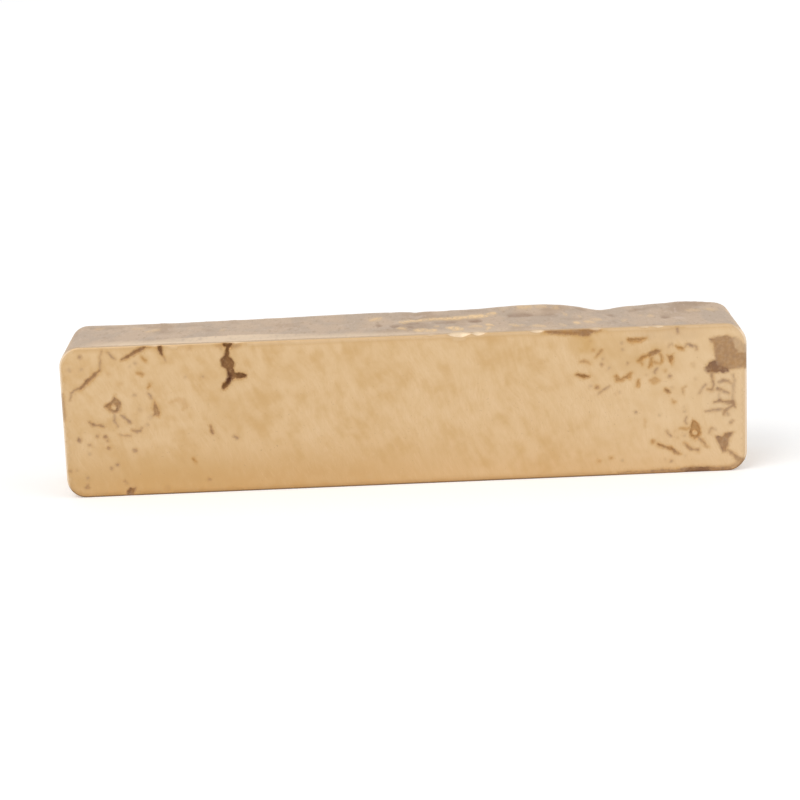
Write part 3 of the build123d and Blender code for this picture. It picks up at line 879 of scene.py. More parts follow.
def read_top(x, depth):
    """For places on the top side: how strongly streaks, shades, pale spots and rubbing show there."""
    seen = depth * FORESHORTENED
    reach, along, across = TOP_RAGGED_ALONG
    ragged_x = x + reach * rough(x / along, seen / across, 1.1, seed=21)
    reach, along, across = TOP_RAGGED_ACROSS
    ragged = seen + reach * rough(x / along, seen / across, 4.4, seed=22)
    fields = []
    for group in (TOP_STREAKS, TOP_SHADES, TOP_PALE):
        field = np.zeros(len(x))
        for corner, strength, points in ((c, s, p) for c, rows in group.items() for s, *p in rows):
            placed = []
            for across, down, half_height in points:
                placed.append([*squeezed(corner, across, down), half_height / ENLARGED * PIXEL_MM])
            gap = stroke_distance(ragged_x, ragged, np.array(placed))
            field = np.maximum(field, strength * smooth(-TOP_SOFT_OUTSIDE, TOP_SOFT_INSIDE, -gap))
        fields.append(field)
    border = np.array([squeezed(TOP_LEFT_CORNER, across, down) for across, down in TOP_RUBBED])
    rub = smooth(*RUB_SOFT, -outline_distance(ragged_x, ragged, border))
    rub *= passing(RUB_FADES_IN, RUB_FADES_OUT, x)
    for across, down, radius in TOP_DULL_SPOTS:
        spot_x, spot_seen = squeezed(TOP_LEFT_CORNER, across, down)
        apart = np.hypot(ragged_x - spot_x, ragged - spot_seen) / (radius / ENLARGED * PIXEL_MM)
        rub *= 1 - DULL_SHARE * smooth(*SPOT_FADES, apart)
    strip = (1 - smooth(*STRIP_DEPTH, depth)) * passing(STRIP_FADES_IN, STRIP_FADES_OUT, x)
    return (*fields, np.maximum(rub, strip))


def chip_depth(x):
    """Depth in mm to which grinding and chipping have bared the front edge of the top side."""
    coarse = BARED_COARSE * noise(x / BARED_COARSE_SIZE, 0.5, seed=31)
    fine = BARED_FINE * noise(x / BARED_FINE_SIZE, 2.5, seed=32)
    bared = BARED + coarse + fine - BARED_LOSS * smooth(BARED_LOSS_FROM, BARED_LOSS_TO, x)
    bared = np.maximum(bared, chips(x))
    return np.where(np.abs(x) > LENGTH / 2 - 1.0, BARED_AT_END, bared)


def chips(x):
    """Depth in mm of the chips of that edge: each is deepest at its middle and runs out to both sides."""
    deepest = np.zeros(len(x))
    for corner, rows in CHIPS.items():
        for start, end, deep in rows:
            low = on_face(corner[0] + start / ENLARGED, CHIP_ROW)[0] - CHIP_RUNOUT
            high = on_face(corner[0] + end / ENLARGED, CHIP_ROW)[0] + CHIP_RUNOUT
            along = np.clip((x - low) / (high - low), 0, 1)
            ragged = deep * (CHIP_MEAN + CHIP_NOISE * noise(x / CHIP_SIZE, 5.5, seed=33))
            deepest = np.maximum(deepest, ragged * np.sin(math.pi * along) ** CHIP_FULLNESS)
    return deepest


# Steps of the bevel from front to rear, as shares of its depth
FRONT_STEPS = [0.0, 0.12, 0.3, 0.6, 1.0]
# How much of a mark's oxide is left at each of those steps, on the top side and on the others
TOP_FADE = [0.6, 0.25, 0.1, 0.0, 0.0]
SIDE_FADE = [1.0, 1.0, 1.0, 0.9, 0.5]
# Bevel of the right end in mm, which is wider than that of the other sides
END_EDGE = 0.58
# How far the bevel of the top side comes down the ground face as a share of how far it goes back, and how
# round the bevel is
TOP_DROP, BEVEL_ROUNDING = 0.45, 1.6
# Rows of the wall behind the bevel, and of the rolled rear edge
WALL_ROWS, REAR_ROWS = 40, 8
# How far in mm a hollow that runs out over an edge may set that edge back
NOTCH_LIMIT = 0.1
# How much of the relief is taken off on the rolled rear edge
REAR_LEVELS = 0.6


def wall_rows():
    """The wall's rows from front to rear, each as (share of the bevel, depth behind it, rear inset)."""
    rows = [(share, 0.0, 0.0) for share in FRONT_STEPS]
    for share in np.linspace(0, 1, WALL_ROWS + 1)[1:]:
        rows.append((1.0, share * (DEPTH - POURED_EDGE), 0.0))
    for turn in np.radians(np.linspace(0, 90, REAR_ROWS + 1)[1:]):
        back = POURED_EDGE * (1 - math.sin(turn))
        rows.append((1.0, DEPTH - back, POURED_EDGE * (1 - math.cos(turn))))
    return rows


# Relief of the casting skin in mm: the height of each kind of lump, and its size across and to the rear
LUMP_HEIGHT, LUMP_ACROSS, LUMP_BACK = 0.05, 5.0, 8.0
RIPPLE_HEIGHT, RIPPLE_ACROSS, RIPPLE_BACK = 0.05, 4.5, 2.6
KINK_HEIGHT, KINK_ACROSS, KINK_BACK = 0.11, 2.4, 9.0
FINE_HEIGHT, FINE_ACROSS, FINE_BACK = 0.025, 1.1, 2.0
# Depths in mm between which the relief, the ripples, the kinks and the crest's own forms grow
RELIEF_GROWS, RIPPLES_GROW, KINKS_GROW, CREST_GROWS = (0.2, 3.5), (3.0, 14.0), (9.0, 21.0), (12.0, 20.0)
# Height and half width in mm of the low rise and the small dent of the crest
RISE_HEIGHT, RISE_WIDTH = 0.25, 7.0
DENT_DEPTH, DENT_WIDTH = 0.4, 1.1
# How far in mm a streak stands up and a shade is sunk, and how much of the lumps rubbing takes off
STREAK_UP, SHADE_DOWN, RUB_LEVELS = 0.10, 0.22, 0.7


# How far a side faces up or down where it begins to count as the top or the bottom, and where it fully does
UP_BEGINS, UP_FULL, DOWN_BEGINS, DOWN_FULL = 0.5, 0.95, 0.2, 0.8
# How far a side faces up or to the right where its bevel is that of the top side or of the right end
TOP_FACES_UP, END_FACES_RIGHT = 0.9, (0.2, 0.8)
# Share of the depth of the bevel at which the casting skin begins
SKIN_FROM_BEVEL = 0.9


def wall_relief(loop, normal, depth):
    """Lumps of the casting skin in mm outward, with none on the bottom and ripples on the top side alone."""
    x, v = loop[:, 0], loop[:, 1]
    up = smooth(UP_BEGINS, UP_FULL, normal[:, 1])
    on_bottom = smooth(DOWN_BEGINS, DOWN_FULL, -normal[:, 1])
    lumps = LUMP_HEIGHT * rough(x / LUMP_ACROSS, v / LUMP_ACROSS, depth / LUMP_BACK, seed=61)
    ripples = RIPPLE_HEIGHT * rough(x / RIPPLE_ACROSS, 0.3, depth / RIPPLE_BACK, seed=66, layers=2)
    kinks = KINK_HEIGHT * rough(x / KINK_ACROSS, 0.7, depth / KINK_BACK, seed=68, layers=2)
    fine = FINE_HEIGHT * rough(x / FINE_ACROSS, v / FINE_ACROSS, depth / FINE_BACK, seed=71, layers=2)
    dent_x, rise_x = on_top(CREST_DENT, CREST_ROW)[0], on_top(CREST_RISE, CREST_ROW)[0]
    rise = RISE_HEIGHT * np.exp(-(((x - rise_x) / RISE_WIDTH) ** 2))
    dent = DENT_DEPTH * np.exp(-(((x - dent_x) / DENT_WIDTH) ** 2))
    waves = ripples * smooth(*RIPPLES_GROW, depth) + kinks * smooth(*KINKS_GROW, depth)
    waves = waves + (rise - dent) * smooth(*CREST_GROWS, depth)
    streak, shade, _, rub = read_top(x, depth)
    marks = (STREAK_UP * streak - SHADE_DOWN * shade) * up
    broad = (lumps + waves * up) * (1 - RUB_LEVELS * rub * up)
    return (broad + fine + marks) * smooth(*RELIEF_GROWS, depth) * (1 - on_bottom)


def build_wall():
    """The wall's rows from the ground face back: x, height, depth, and depth without the notches."""
    front = outline(0)
    facing = outward(front)
    top_side = facing[:, 1] > TOP_FACES_UP
    plain_bevel = GROUND_EDGE + (END_EDGE - GROUND_EDGE) * smooth(*END_FACES_RIGHT, facing[:, 0])
    bevel = np.maximum(np.where(top_side, chip_depth(front[:, 0]), 0), plain_bevel)
    drop = np.where(top_side, np.maximum(TOP_DROP * bevel, chips(front[:, 0])), bevel)
    notch = np.minimum(read_face(*(front - GROUND_EDGE * facing).T).depth, NOTCH_LIMIT)
    xs, vs, ds, bases = [], [], [], []
    for share, behind, inset in wall_rows():
        depth = bevel * share if behind == 0 else bevel + (behind / DEPTH) * (DEPTH - bevel)
        loop = outline(float(np.median(depth)))
        normal = outward(loop)
        curve_in = drop * (1 - share) ** BEVEL_ROUNDING
        lift = wall_relief(loop, normal, depth) * (1 - REAR_LEVELS * (inset > 0))
        moved = loop + normal * (lift - inset - curve_in)[:, None]
        xs.append(moved[:, 0])
        vs.append(np.maximum(moved[:, 1], 0))
        ds.append(notch + depth * (DEPTH - notch) / DEPTH)
        bases.append(depth)
    return (np.array(part) for part in (xs, vs, ds, bases))


# Waves that grinding left in the ground face, in mm: height, length, and how far from the edge they are full
GRIND_HEIGHT, GRIND_LENGTH, GRIND_FULL = 0.02, 9.0, 1.5
# Lumps and wrinkles of the poured side, in mm: height and size, the wrinkles being lower than they are wide
POURED_LUMP, POURED_LUMP_SIZE = 0.10, 7.0
POURED_WRINKLE, WRINKLE_WIDE, WRINKLE_TALL = 0.07, 2.2, 1.6
# Distance from the rolled edge between which that relief and the hollow grow, in mm
POURED_GROWS = (0.2, 3.0)
# Grid of the poured side, in mm: its step, and how far it keeps from the edge
POURED_STEP, POURED_CLEARANCE = 0.9, 0.6


def build_bar():
    """The bar as one closed mesh, with what its material needs written to its points."""
    xs, vs, ds, bases = build_wall()
    rows, columns = xs.shape
    wall = rows * columns

    # Ground face
    loop = np.stack([xs[0], vs[0]], 1)
    inner = face_points(loop)
    face_triangles = fill(loop, inner)
    face = read_face(*inner.T)
    from_edge = smooth(0, GRIND_FULL, -outline_distance(*inner.T, loop))
    waves = rough(inner[:, 0] / GRIND_LENGTH, inner[:, 1] / GRIND_LENGTH, seed=41, layers=2)
    face_depth = np.maximum(face.depth + GRIND_HEIGHT * (1 + waves) * from_edge, 0)

    # Poured side
    last = np.stack([xs[-1], vs[-1]], 1)
    back = grid_points(last, POURED_STEP, POURED_CLEARANCE)
    back_triangles = fill(last, back)
    level = smooth(*POURED_GROWS, -outline_distance(*back.T, last))
    lumps = rough(back[:, 0] / POURED_LUMP_SIZE, back[:, 1] / POURED_LUMP_SIZE, seed=51)
    wrinkles = rough(back[:, 0] / WRINKLE_WIDE, back[:, 1] / WRINKLE_TALL, seed=52, layers=2)
    relief = np.abs(POURED_LUMP * lumps + POURED_WRINKLE * wrinkles)
    back_depth = DEPTH - level * (sink(*back.T) + relief)

    x = np.concatenate([xs.ravel(), inner[:, 0], back[:, 0]])
    v = np.concatenate([vs.ravel(), inner[:, 1], back[:, 1]])
    d = np.concatenate([ds.ravel(), face_depth, back_depth])
    lowest = np.array(cad_box[0])
    lowest[2] = max(lowest[2], 0)
    points = np.clip(place(x, v, d), lowest, np.array(cad_box[1]))

    faces = []
    for row in range(rows - 1):
        first = row * columns
        for i in range(columns):
            j = (i + 1) % columns
            faces.append((first + i, first + columns + i, first + columns + j, first + j))

    def renumber(triangle, loop_start, inner_start):
        return tuple(loop_start + i if i < columns else inner_start + i - columns for i in triangle)

    faces += [renumber(triangle, 0, wall) for triangle in face_triangles]
    faces += [renumber(triangle[::-1], wall - columns, wall + len(inner)) for triangle in back_triangles]

    mesh = bpy.data.meshes.new("cast_bar_metal")
    mesh.from_pydata(points.tolist(), [], faces)
    mesh.validate()
    mesh.shade_smooth()

    values = read_surface(x, v, d, bases, inner, face, loop)
    for name, numbers in values.items():
        layer = mesh.attributes.new(name, "FLOAT", "POINT")
        layer.data.foreach_set("value", numbers.astype(np.float32))
    bar = bpy.data.objects.new("cast_bar_metal", mesh)
    bpy.context.scene.collection.objects.link(bar)
    print("bar: points", len(points), "triangles", sum(len(f) - 2 for f in faces))
    return bar


# What the material reads at each point of the mesh
SURFACE_NAMES = (
    "skin", "streak", "shade", "pale", "rub", "wear", "crest", "edge", "chip", "upward",
    "gap", "dark", "amber", "stain", "tint", "rim",
)
# Share of the height above which a point counts as one of the top side
TOP_SHARE = 0.8
# Distances in mm behind the bared edge between which the casting skin begins
SKIN_BEGINS = (-0.12, 0.2)
# How much of the edge's colour, with its painted highlight, shade and reflection, is already on the border of
# the ground face
EDGE_ON_FACE = 0.3
# Depths in mm of a chip between which it shows bright, with a painted highlight
CHIP_SHOWS = (0.2, 0.9)
# Depths in mm between which the pale band along the crest, a painted reflection, begins, and how far up it
# must face
CREST_REFLECTION_BAND, CREST_FACING = (DEPTH - 2.6, DEPTH - 0.3), (-0.2, 0.6)
# Depths in mm between which the wear of the rolled edge begins and ends, and how strong it is
ROLL_WEAR_BEGINS, ROLL_WEAR_ENDS, ROLL_WEAR = (DEPTH - 1.9, DEPTH - 0.5), (DEPTH - 0.3, DEPTH + 0.1), 0.5
# Distances in mm from the middle between which the corners' wear begins and ends, and how strong it is
HALF = LENGTH / 2
CORNER_WEAR_BEGINS, CORNER_WEAR_ENDS, CORNER_WEAR = (HALF - 3.2, HALF - 1.6), (HALF - 0.6, HALF + 0.3), 0.8
# Distances in mm from the middle between which the darker rim of the ground face fades towards an end, how
# far that moves it, and the distance from the edge past which there is none
RIM_FADES, RIM_MOVED, RIM_FAR = (HALF - 5.0, HALF - 1.5), 2.0, 4


def read_surface(x, v, d, bases, inner, face, loop):
    """What the material reads at each point, by name."""
    rows, columns = bases.shape
    wall = rows * columns
    bevel_part, face_part = slice(0, len(FRONT_STEPS) * columns), slice(wall, wall + len(inner))
    wall_x, wall_v, wall_depth = x[:wall], v[:wall], bases.ravel()
    facing_up = outward(outline(0))[:, 1]
    values = {name: np.zeros(len(x)) for name in SURFACE_NAMES}

    # Casting skin everywhere but on the ground face and its bared edge, with the marks of the top side
    bared = np.maximum(chip_depth(wall_x), np.tile(bases[len(FRONT_STEPS) - 1], rows) * SKIN_FROM_BEVEL)
    values["skin"][:wall] = smooth(*SKIN_BEGINS, wall_depth - bared)
    values["skin"][face_part.stop :] = 1
    top = np.nonzero(wall_v > TOP_SHARE * HEIGHT_LEFT)[0]
    for name, numbers in zip(("streak", "shade", "pale", "rub"), read_top(x[top], d[top])):
        values[name][top] = numbers

    # Rubbed edge in front, coloured with painted highlight, shade and reflection by the way it faces, its
    # brighter chips, and the pale band along the crest, a painted reflection
    values["edge"][:wall] = 1
    values["edge"][:columns] = EDGE_ON_FACE
    values["upward"][:wall] = np.tile((facing_up + 1) / 2, rows)
    values["chip"][:wall] = smooth(*CHIP_SHOWS, chips(wall_x)) * (wall_v > TOP_SHARE * HEIGHT_LEFT)
    values["crest"][:wall] = smooth(*CREST_REFLECTION_BAND, wall_depth) * smooth(*CREST_FACING, values["upward"][:wall])

    # Wear along the rolled rear edge and the corners of the two ends
    roll = ROLL_WEAR * passing(ROLL_WEAR_BEGINS, ROLL_WEAR_ENDS, wall_depth)
    corners = CORNER_WEAR * passing(CORNER_WEAR_BEGINS, CORNER_WEAR_ENDS, np.abs(wall_x))
    values["wear"][:wall] = np.maximum(roll, corners)

    # Marks of the ground face, carried over its bevel
    values["gap"][:] = FAR
    fade = np.where(facing_up > UP_BEGINS, np.array(TOP_FADE)[:, None], np.array(SIDE_FADE)[:, None]).ravel()
    bevel = read_face(x[bevel_part], v[bevel_part])
    for part, reading, share_left in ((face_part, face, 1), (bevel_part, bevel, fade)):
        values["gap"][part], values["dark"][part] = reading.gap, reading.dark * share_left
        values["amber"][part] = reading.amber
        values["stain"][part], values["tint"][part] = read_stain(x[part], v[part])
    towards_end = smooth(*RIM_FADES, np.abs(inner[:, 0]))
    values["rim"][face_part] = np.clip(RIM_MOVED * towards_end - outline_distance(*inner.T, loop), 0, RIM_FAR)
    values["rim"][face_part.stop :] = RIM_FAR
    return values


def grid_points(loop, step, clearance):
    """An even triangular grid inside an outline, further than the clearance from it."""
    low, high = loop.min(axis=0), loop.max(axis=0)
    rows = np.arange(low[1], high[1], step * math.sqrt(0.75))
    points = []
    for number, v in enumerate(rows):
        xs = np.arange(low[0] + (number % 2) * step / 2, high[0], step)
        points.append(np.stack([xs, np.full(len(xs), v)], 1))
    points = np.concatenate(points)
    return points[outline_distance(*points.T, loop) < -clearance]


# Grids of the ground face in mm: the step, how far outside and inside the outline of a mark it goes, and how
# far it keeps from the edge of the face
FACE_GRIDS = [(0.96, math.inf, math.inf, 0.5), (0.48, 1.2, math.inf, 0.3), (0.24, 0.4, 0.7, 0.14)]
# Points closer together than this count as one, in mm
SAME_POINT = 0.02


def face_points(loop):
    """Points for the ground face, close together round its marks and sparse elsewhere."""
    chosen = []
    for step, outside, inside, clearance in FACE_GRIDS:
        points = grid_points(loop, step, clearance)
        gap = read_face(*points.T).gap
        chosen.append(points[(gap < outside) & (gap > -inside)])
    together = np.concatenate(chosen)
    _, first = np.unique(np.round(together / SAME_POINT).astype(np.int64), axis=0, return_index=True)
    return together[np.sort(first)]


# The triangulation's own number for triangles inside the outline alone, and the distance in mm that it takes
# for none
TRIANGLES_INSIDE, TOUCHING = 1, 1e-7


def fill(loop, points):
    """Triangles between an outline and the points inside it, with the outline's own points numbered first."""
    every = np.concatenate([loop, points])
    count = len(loop)
    edges = [(i, (i + 1) % count) for i in range(count)]
    every = [Vector(point) for point in every.tolist()]
    found = delaunay_2d_cdt(every, edges, [], TRIANGLES_INSIDE, TOUCHING)
    verts, triangles, number = found[0], found[2], [origin[0] for origin in found[3]]
    assert len(verts) == len(every), "the outline crosses itself"
    return [tuple(number[i] for i in triangle) for triangle in triangles]


bar = build_bar()


# Camera

SENSOR_MM = 36.0
NEAREST_M, FARTHEST_M = 0.01, 50.0

camera_data = bpy.data.cameras.new("camera")
camera_data.sensor_width = SENSOR_MM
camera_data.lens = FOCAL_PIXELS / PHOTO_SIZE * SENSOR_MM
camera_data.clip_start = NEAREST_M
camera_data.clip_end = FARTHEST_M
camera = bpy.data.objects.new("camera", camera_data)
camera.matrix_world = Matrix.Translation(CAMERA_PLACE * MM) @ TURN.to_4x4()
bpy.context.scene.collection.objects.link(camera)
bpy.context.scene.camera = camera


# Materials


class Nodes:
    """Short calls for building the node tree of a material or of the world."""

    def __init__(self, owner):
        owner.use_nodes = True
        self.tree = owner.node_tree
        self.tree.nodes.clear()

    def add(self, kind, inputs=(), **settings):
        """A new node. Each of its inputs, by name or number, is a constant or the output of another node."""
        node = self.tree.nodes.new(kind)
        for key, value in settings.items():
            setattr(node, key, value)
        for key, value in dict(inputs).items():
            if isinstance(value, bpy.types.NodeSocket):
                self.tree.links.new(value, node.inputs[key])
            else:
                node.inputs[key].default_value = value
        return node

    @cached_property
    def object(self):
        """Coordinates of the object in metres."""
        return self.add("ShaderNodeTexCoord").outputs["Object"]

    def read(self, *names):
        """The values that the mesh carries under some names."""
        return [self.add("ShaderNodeAttribute", attribute_name=name).outputs["Fac"] for name in names]

    def math(self, operation, a, b):
        return self.add("ShaderNodeMath", {0: a, 1: b}, operation=operation).outputs[0]

    def vector(self, operation, a, b, second=1):
        return self.add("ShaderNodeVectorMath", {0: a, second: b}, operation=operation).outputs[0]

    def times(self, *values):
        return reduce(lambda product, value: self.math("MULTIPLY", product, value), values)

    def plus(self, *values):
        return reduce(lambda total, value: self.math("ADD", total, value), values)

    def ramp(self, value, low, high, to_low=0.0, to_high=1.0):
        """A soft ramp from to_low where the value is low to to_high where it is high."""
        inputs = enumerate((value, low, high, to_low, to_high))
        return self.add("ShaderNodeMapRange", inputs, interpolation_type="SMOOTHSTEP").outputs[0]

    def along(self, axis, start_mm, end_mm, to_low=0.0, to_high=1.0):
        """A ramp between two places along an axis of the object."""
        place_on_axis = self.add("ShaderNodeSeparateXYZ", {0: self.object}).outputs[axis]
        return self.ramp(place_on_axis, start_mm * MM, end_mm * MM, to_low, to_high)

    def warped(self, reach_mm, size_mm, shift):
        """The object's coordinates, pushed about by broad noise."""
        clouds = self.noise_node(size_mm, 1.0, self.object, shift).outputs["Color"]
        centred = self.vector("SUBTRACT", clouds, (0.5, 0.5, 0.5))
        return self.vector("ADD", self.object, self.vector("SCALE", centred, 2 * reach_mm * MM, "Scale"))

    def noise_node(self, size_mm, detail, vector, shift):
        inputs = {"Vector": self.vector("ADD", vector, shift), "Scale": 1 / (size_mm * MM), "Detail": detail}
        return self.add("ShaderNodeTexNoise", inputs)

    def noise(self, size_mm, detail, turn=0.0, stretch=1.0, deepen=1.0, shift=(0, 0, 0), vector=None):
        """Noise about size_mm wide, turned about y by degrees, then drawn out along x and along y."""
        vector = vector or self.object
        if turn or stretch != 1.0 or deepen != 1.0:
            turned = {"Vector": vector, "Angle": math.radians(turn)}
            turned = self.add("ShaderNodeVectorRotate", turned, rotation_type="Y_AXIS").outputs[0]
            drawn_out = {"Vector": turned, "Scale": (1 / stretch, 1 / deepen, 1)}
            vector = self.add("ShaderNodeMapping", drawn_out).outputs[0]
        return self.noise_node(size_mm, detail, vector, shift).outputs["Fac"]

    def mix(self, share, a, b):
        """Colour a with a share of colour b."""
        a, b = (colour if isinstance(colour, bpy.types.NodeSocket) else (*colour, 1.0) for colour in (a, b))
        return self.add("ShaderNodeMix", {0: share, 6: a, 7: b}, data_type="RGBA").outputs[2]

    def blend(self, share, a, b):
        """Number a with a share of number b."""
        return self.add("ShaderNodeMix", {0: share, 2: a, 3: b}, data_type="FLOAT").outputs[0]

    def bump(self, height, strength, distance_mm, **under):
        inputs = {"Height": height, "Strength": strength, "Distance": distance_mm * MM, **under}
        return self.add("ShaderNodeBump", inputs).outputs[0]

    def seen_rays(self):
        """1 for rays from the camera, a mirror or clear glass, which see the white backdrop."""
        rays = self.add("ShaderNodeLightPath").outputs
        seen = self.math("MAXIMUM", rays["Is Camera Ray"], rays["Is Glossy Ray"])
        return self.math("MAXIMUM", seen, rays["Is Transmission Ray"])


# Colours, as linear shares of red, green and blue
GROUND_BRASS = (0.685, 0.480, 0.270)
GROUND_GOLD = (0.585, 0.37, 0.166)
GROUND_PALE = (0.75, 0.555, 0.345)
GROUND_DEEP = (0.53, 0.315, 0.12)
# Colours of the bevel by the way it faces: bared metal made pale by a painted highlight where it faces up and
# on chips, painted shade where it faces down, and a painted reflection of the white surroundings on the sides
EDGE_PALE_HIGHLIGHT = (0.56, 0.43, 0.30)
CHIP_CREAM_HIGHLIGHT = (0.76, 0.62, 0.45)
EDGE_SHADE_BROWN = (0.30, 0.18, 0.088)
RIM_PALE_REFLECTION = (0.82, 0.67, 0.50)
PIT_DULL = (0.34, 0.195, 0.105)
PIT_AMBER = (0.52, 0.26, 0.062)
# Near-black of the darkest cracks and cavities: dark oxide with painted shade of their depth
PIT_DEEP_SHADE = (0.125, 0.035, 0.010)
STAIN_AMBER = (0.57, 0.35, 0.135)
STAIN_GREY = (0.56, 0.405, 0.265)
SKIN_GREY = (0.53, 0.415, 0.315)
SKIN_PINK = (0.60, 0.455, 0.33)
SKIN_BROWN = (0.40, 0.27, 0.175)
SKIN_DARK = (0.31, 0.20, 0.13)
SKIN_PALE = (0.66, 0.53, 0.43)
RUBBED_SKIN = (0.80, 0.605, 0.405)
# Pale band along the rolled rear edge: a painted reflection of the white surroundings
CREST_PALE_REFLECTION = (0.66, 0.55, 0.44)
SKIN_BRONZE = (0.60, 0.41, 0.24)
STREAK_GOLD = (0.86, 0.59, 0.285)
# Between these heights and these places along the bar, in mm, the ground metal grows golden low on the left,
# a painted shade and reflection, and pale on the right
LOW_SHADE_FROM_TO, LEFT_SHADE_FROM_TO, RIGHT_FROM_TO = (14, 3), (35, -25), (25, 80)
# Turn of the brushing in degrees, and of the faint scratches across it
BRUSH_TURN, ACROSS_TURN = -62.0, -86.0
# Roughness of the ground metal where it is smoothest and roughest, of its rubbed edge and of oxide in pits
METAL_SMOOTHEST, METAL_ROUGHEST, EDGE_ROUGHNESS, PIT_ROUGHNESS = 0.34, 0.44, 0.58, 0.72
# Roughness of the skin of the top side, of the skin elsewhere, and of bright metal that shows through either
TOP_ROUGHNESS, SKIN_ROUGHNESS, BRIGHT_ROUGHNESS = 0.66, 0.48, 0.38
# How metallic the skin of the top side, the skin elsewhere and the oxide in pits are
TOP_METALLIC, SKIN_METALLIC, PIT_METALLIC = 0.35, 0.8, 0.2
# Relief of the ground metal and of the skin: strength, and height in mm
METAL_BUMP, SKIN_BUMP = (0.28, 0.012), (0.8, 0.13)

# In the calls of ramp below the first two numbers are values of a noise, which runs from 0 to 1, or of what
# the mesh carries, and the last two are what the ramp gives at them: 0 and 1 if they are left out. The first
# number in a call of noise is its size in mm.


def ground_metal(n):
    """Colour, roughness and relief of the ground metal: cloudy, with faint curved brushing, painted shade low
    on the left, and painted highlight, shade and reflection on its bevel.
    """
    rim, stain, tint, edge, chip, upward = n.read("rim", "stain", "tint", "edge", "chip", "upward")
    swept = n.warped(3.0, 16.0, shift=(0.3, 0, 0))
    clouds = n.noise(12, detail=3, shift=(3, 0, 0))
    small_clouds = n.noise(3.2, detail=4, shift=(0, 0, 5))
    broad_brush = n.noise(1.5, detail=2, turn=BRUSH_TURN, stretch=5, vector=swept)
    thin_brush = n.noise(0.3, detail=2, turn=BRUSH_TURN, stretch=14, vector=swept)
    across_brush = n.noise(0.25, detail=1, turn=ACROSS_TURN, stretch=16, shift=(2, 0, 0), vector=swept)
    scratches = n.plus(n.times(thin_brush, 0.6), n.times(across_brush, 0.4))

    tone = n.plus(n.times(clouds, 0.45), n.times(broad_brush, 0.22), n.times(small_clouds, 0.33))
    colour = n.mix(n.ramp(tone, 0.34, 0.56, 0.15, 1.0), GROUND_GOLD, GROUND_BRASS)
    colour = n.mix(n.ramp(tone, 0.52, 0.70, 0.0, 0.5), colour, GROUND_PALE)
    # Painted shade and reflection: more golden low on the left
    low_left_painted_shade = n.times(n.along("Z", *LOW_SHADE_FROM_TO, 0.0, 0.9), n.along("X", *LEFT_SHADE_FROM_TO, 0.1, 1.0))
    colour = n.mix(n.times(low_left_painted_shade, n.ramp(small_clouds, 0.3, 0.7, 0.6, 1.0)), colour, GROUND_GOLD)
    colour = n.mix(n.times(n.along("X", *RIGHT_FROM_TO), 0.6), colour, GROUND_PALE)
    patchy = n.ramp(clouds, 0.4, 0.6, 0.35, 1.0)
    colour = n.mix(n.times(patchy, n.ramp(scratches, 0.36, 0.60, 0.16, 0.0)), colour, GROUND_DEEP)
    colour = n.mix(n.times(patchy, n.ramp(scratches, 0.55, 0.70, 0.0, 0.2)), colour, GROUND_PALE)
    stained = n.mix(tint, STAIN_GREY, STAIN_AMBER)
    colour = n.mix(n.times(stain, n.ramp(small_clouds, 0.3, 0.65, 0.4, 1.0)), colour, stained)
    edge_tint = n.times(n.ramp(rim, 0.1, 1.8, 0.5, 0.0), n.ramp(small_clouds, 0.35, 0.65, 0.5, 1.0))
    colour = n.mix(edge_tint, colour, GROUND_DEEP)
    colour = n.mix(n.ramp(rim, 0.0, 0.4, 0.3, 0.0), colour, GROUND_DEEP)
    specks = n.noise(0.5, detail=2, shift=(7, 7, 7))
    colour = n.mix(n.ramp(specks, 0.66, 0.78, 0.0, 0.3), colour, PIT_DULL)
    # Bevel colour: painted shade where it faces down, painted reflection of the white surroundings on its
    # sides, and a painted highlight on the bared metal and chips where it faces up
    rubbed_edge_with_painted_light = n.mix(n.ramp(upward, 0.14, 0.44), EDGE_SHADE_BROWN, RIM_PALE_REFLECTION)
    rubbed_edge_with_painted_light = n.mix(n.ramp(upward, 0.75, 0.98), rubbed_edge_with_painted_light, EDGE_PALE_HIGHLIGHT)
    rubbed_edge_with_painted_light = n.mix(n.times(chip, n.ramp(small_clouds, 0.3, 0.6, 0.5, 1.0)), rubbed_edge_with_painted_light, CHIP_CREAM_HIGHLIGHT)
    colour = n.mix(n.times(edge, n.ramp(specks, 0.60, 0.75, 0.9, 0.5)), colour, rubbed_edge_with_painted_light)

    roughness = n.plus(n.times(thin_brush, 0.5), n.times(clouds, 0.5))
    roughness = n.ramp(roughness, 0.35, 0.65, METAL_SMOOTHEST, METAL_ROUGHEST)
    roughness = n.blend(edge, roughness, EDGE_ROUGHNESS)
    height = n.plus(n.times(scratches, 0.6), n.times(broad_brush, 0.4))
    return colour, roughness, height


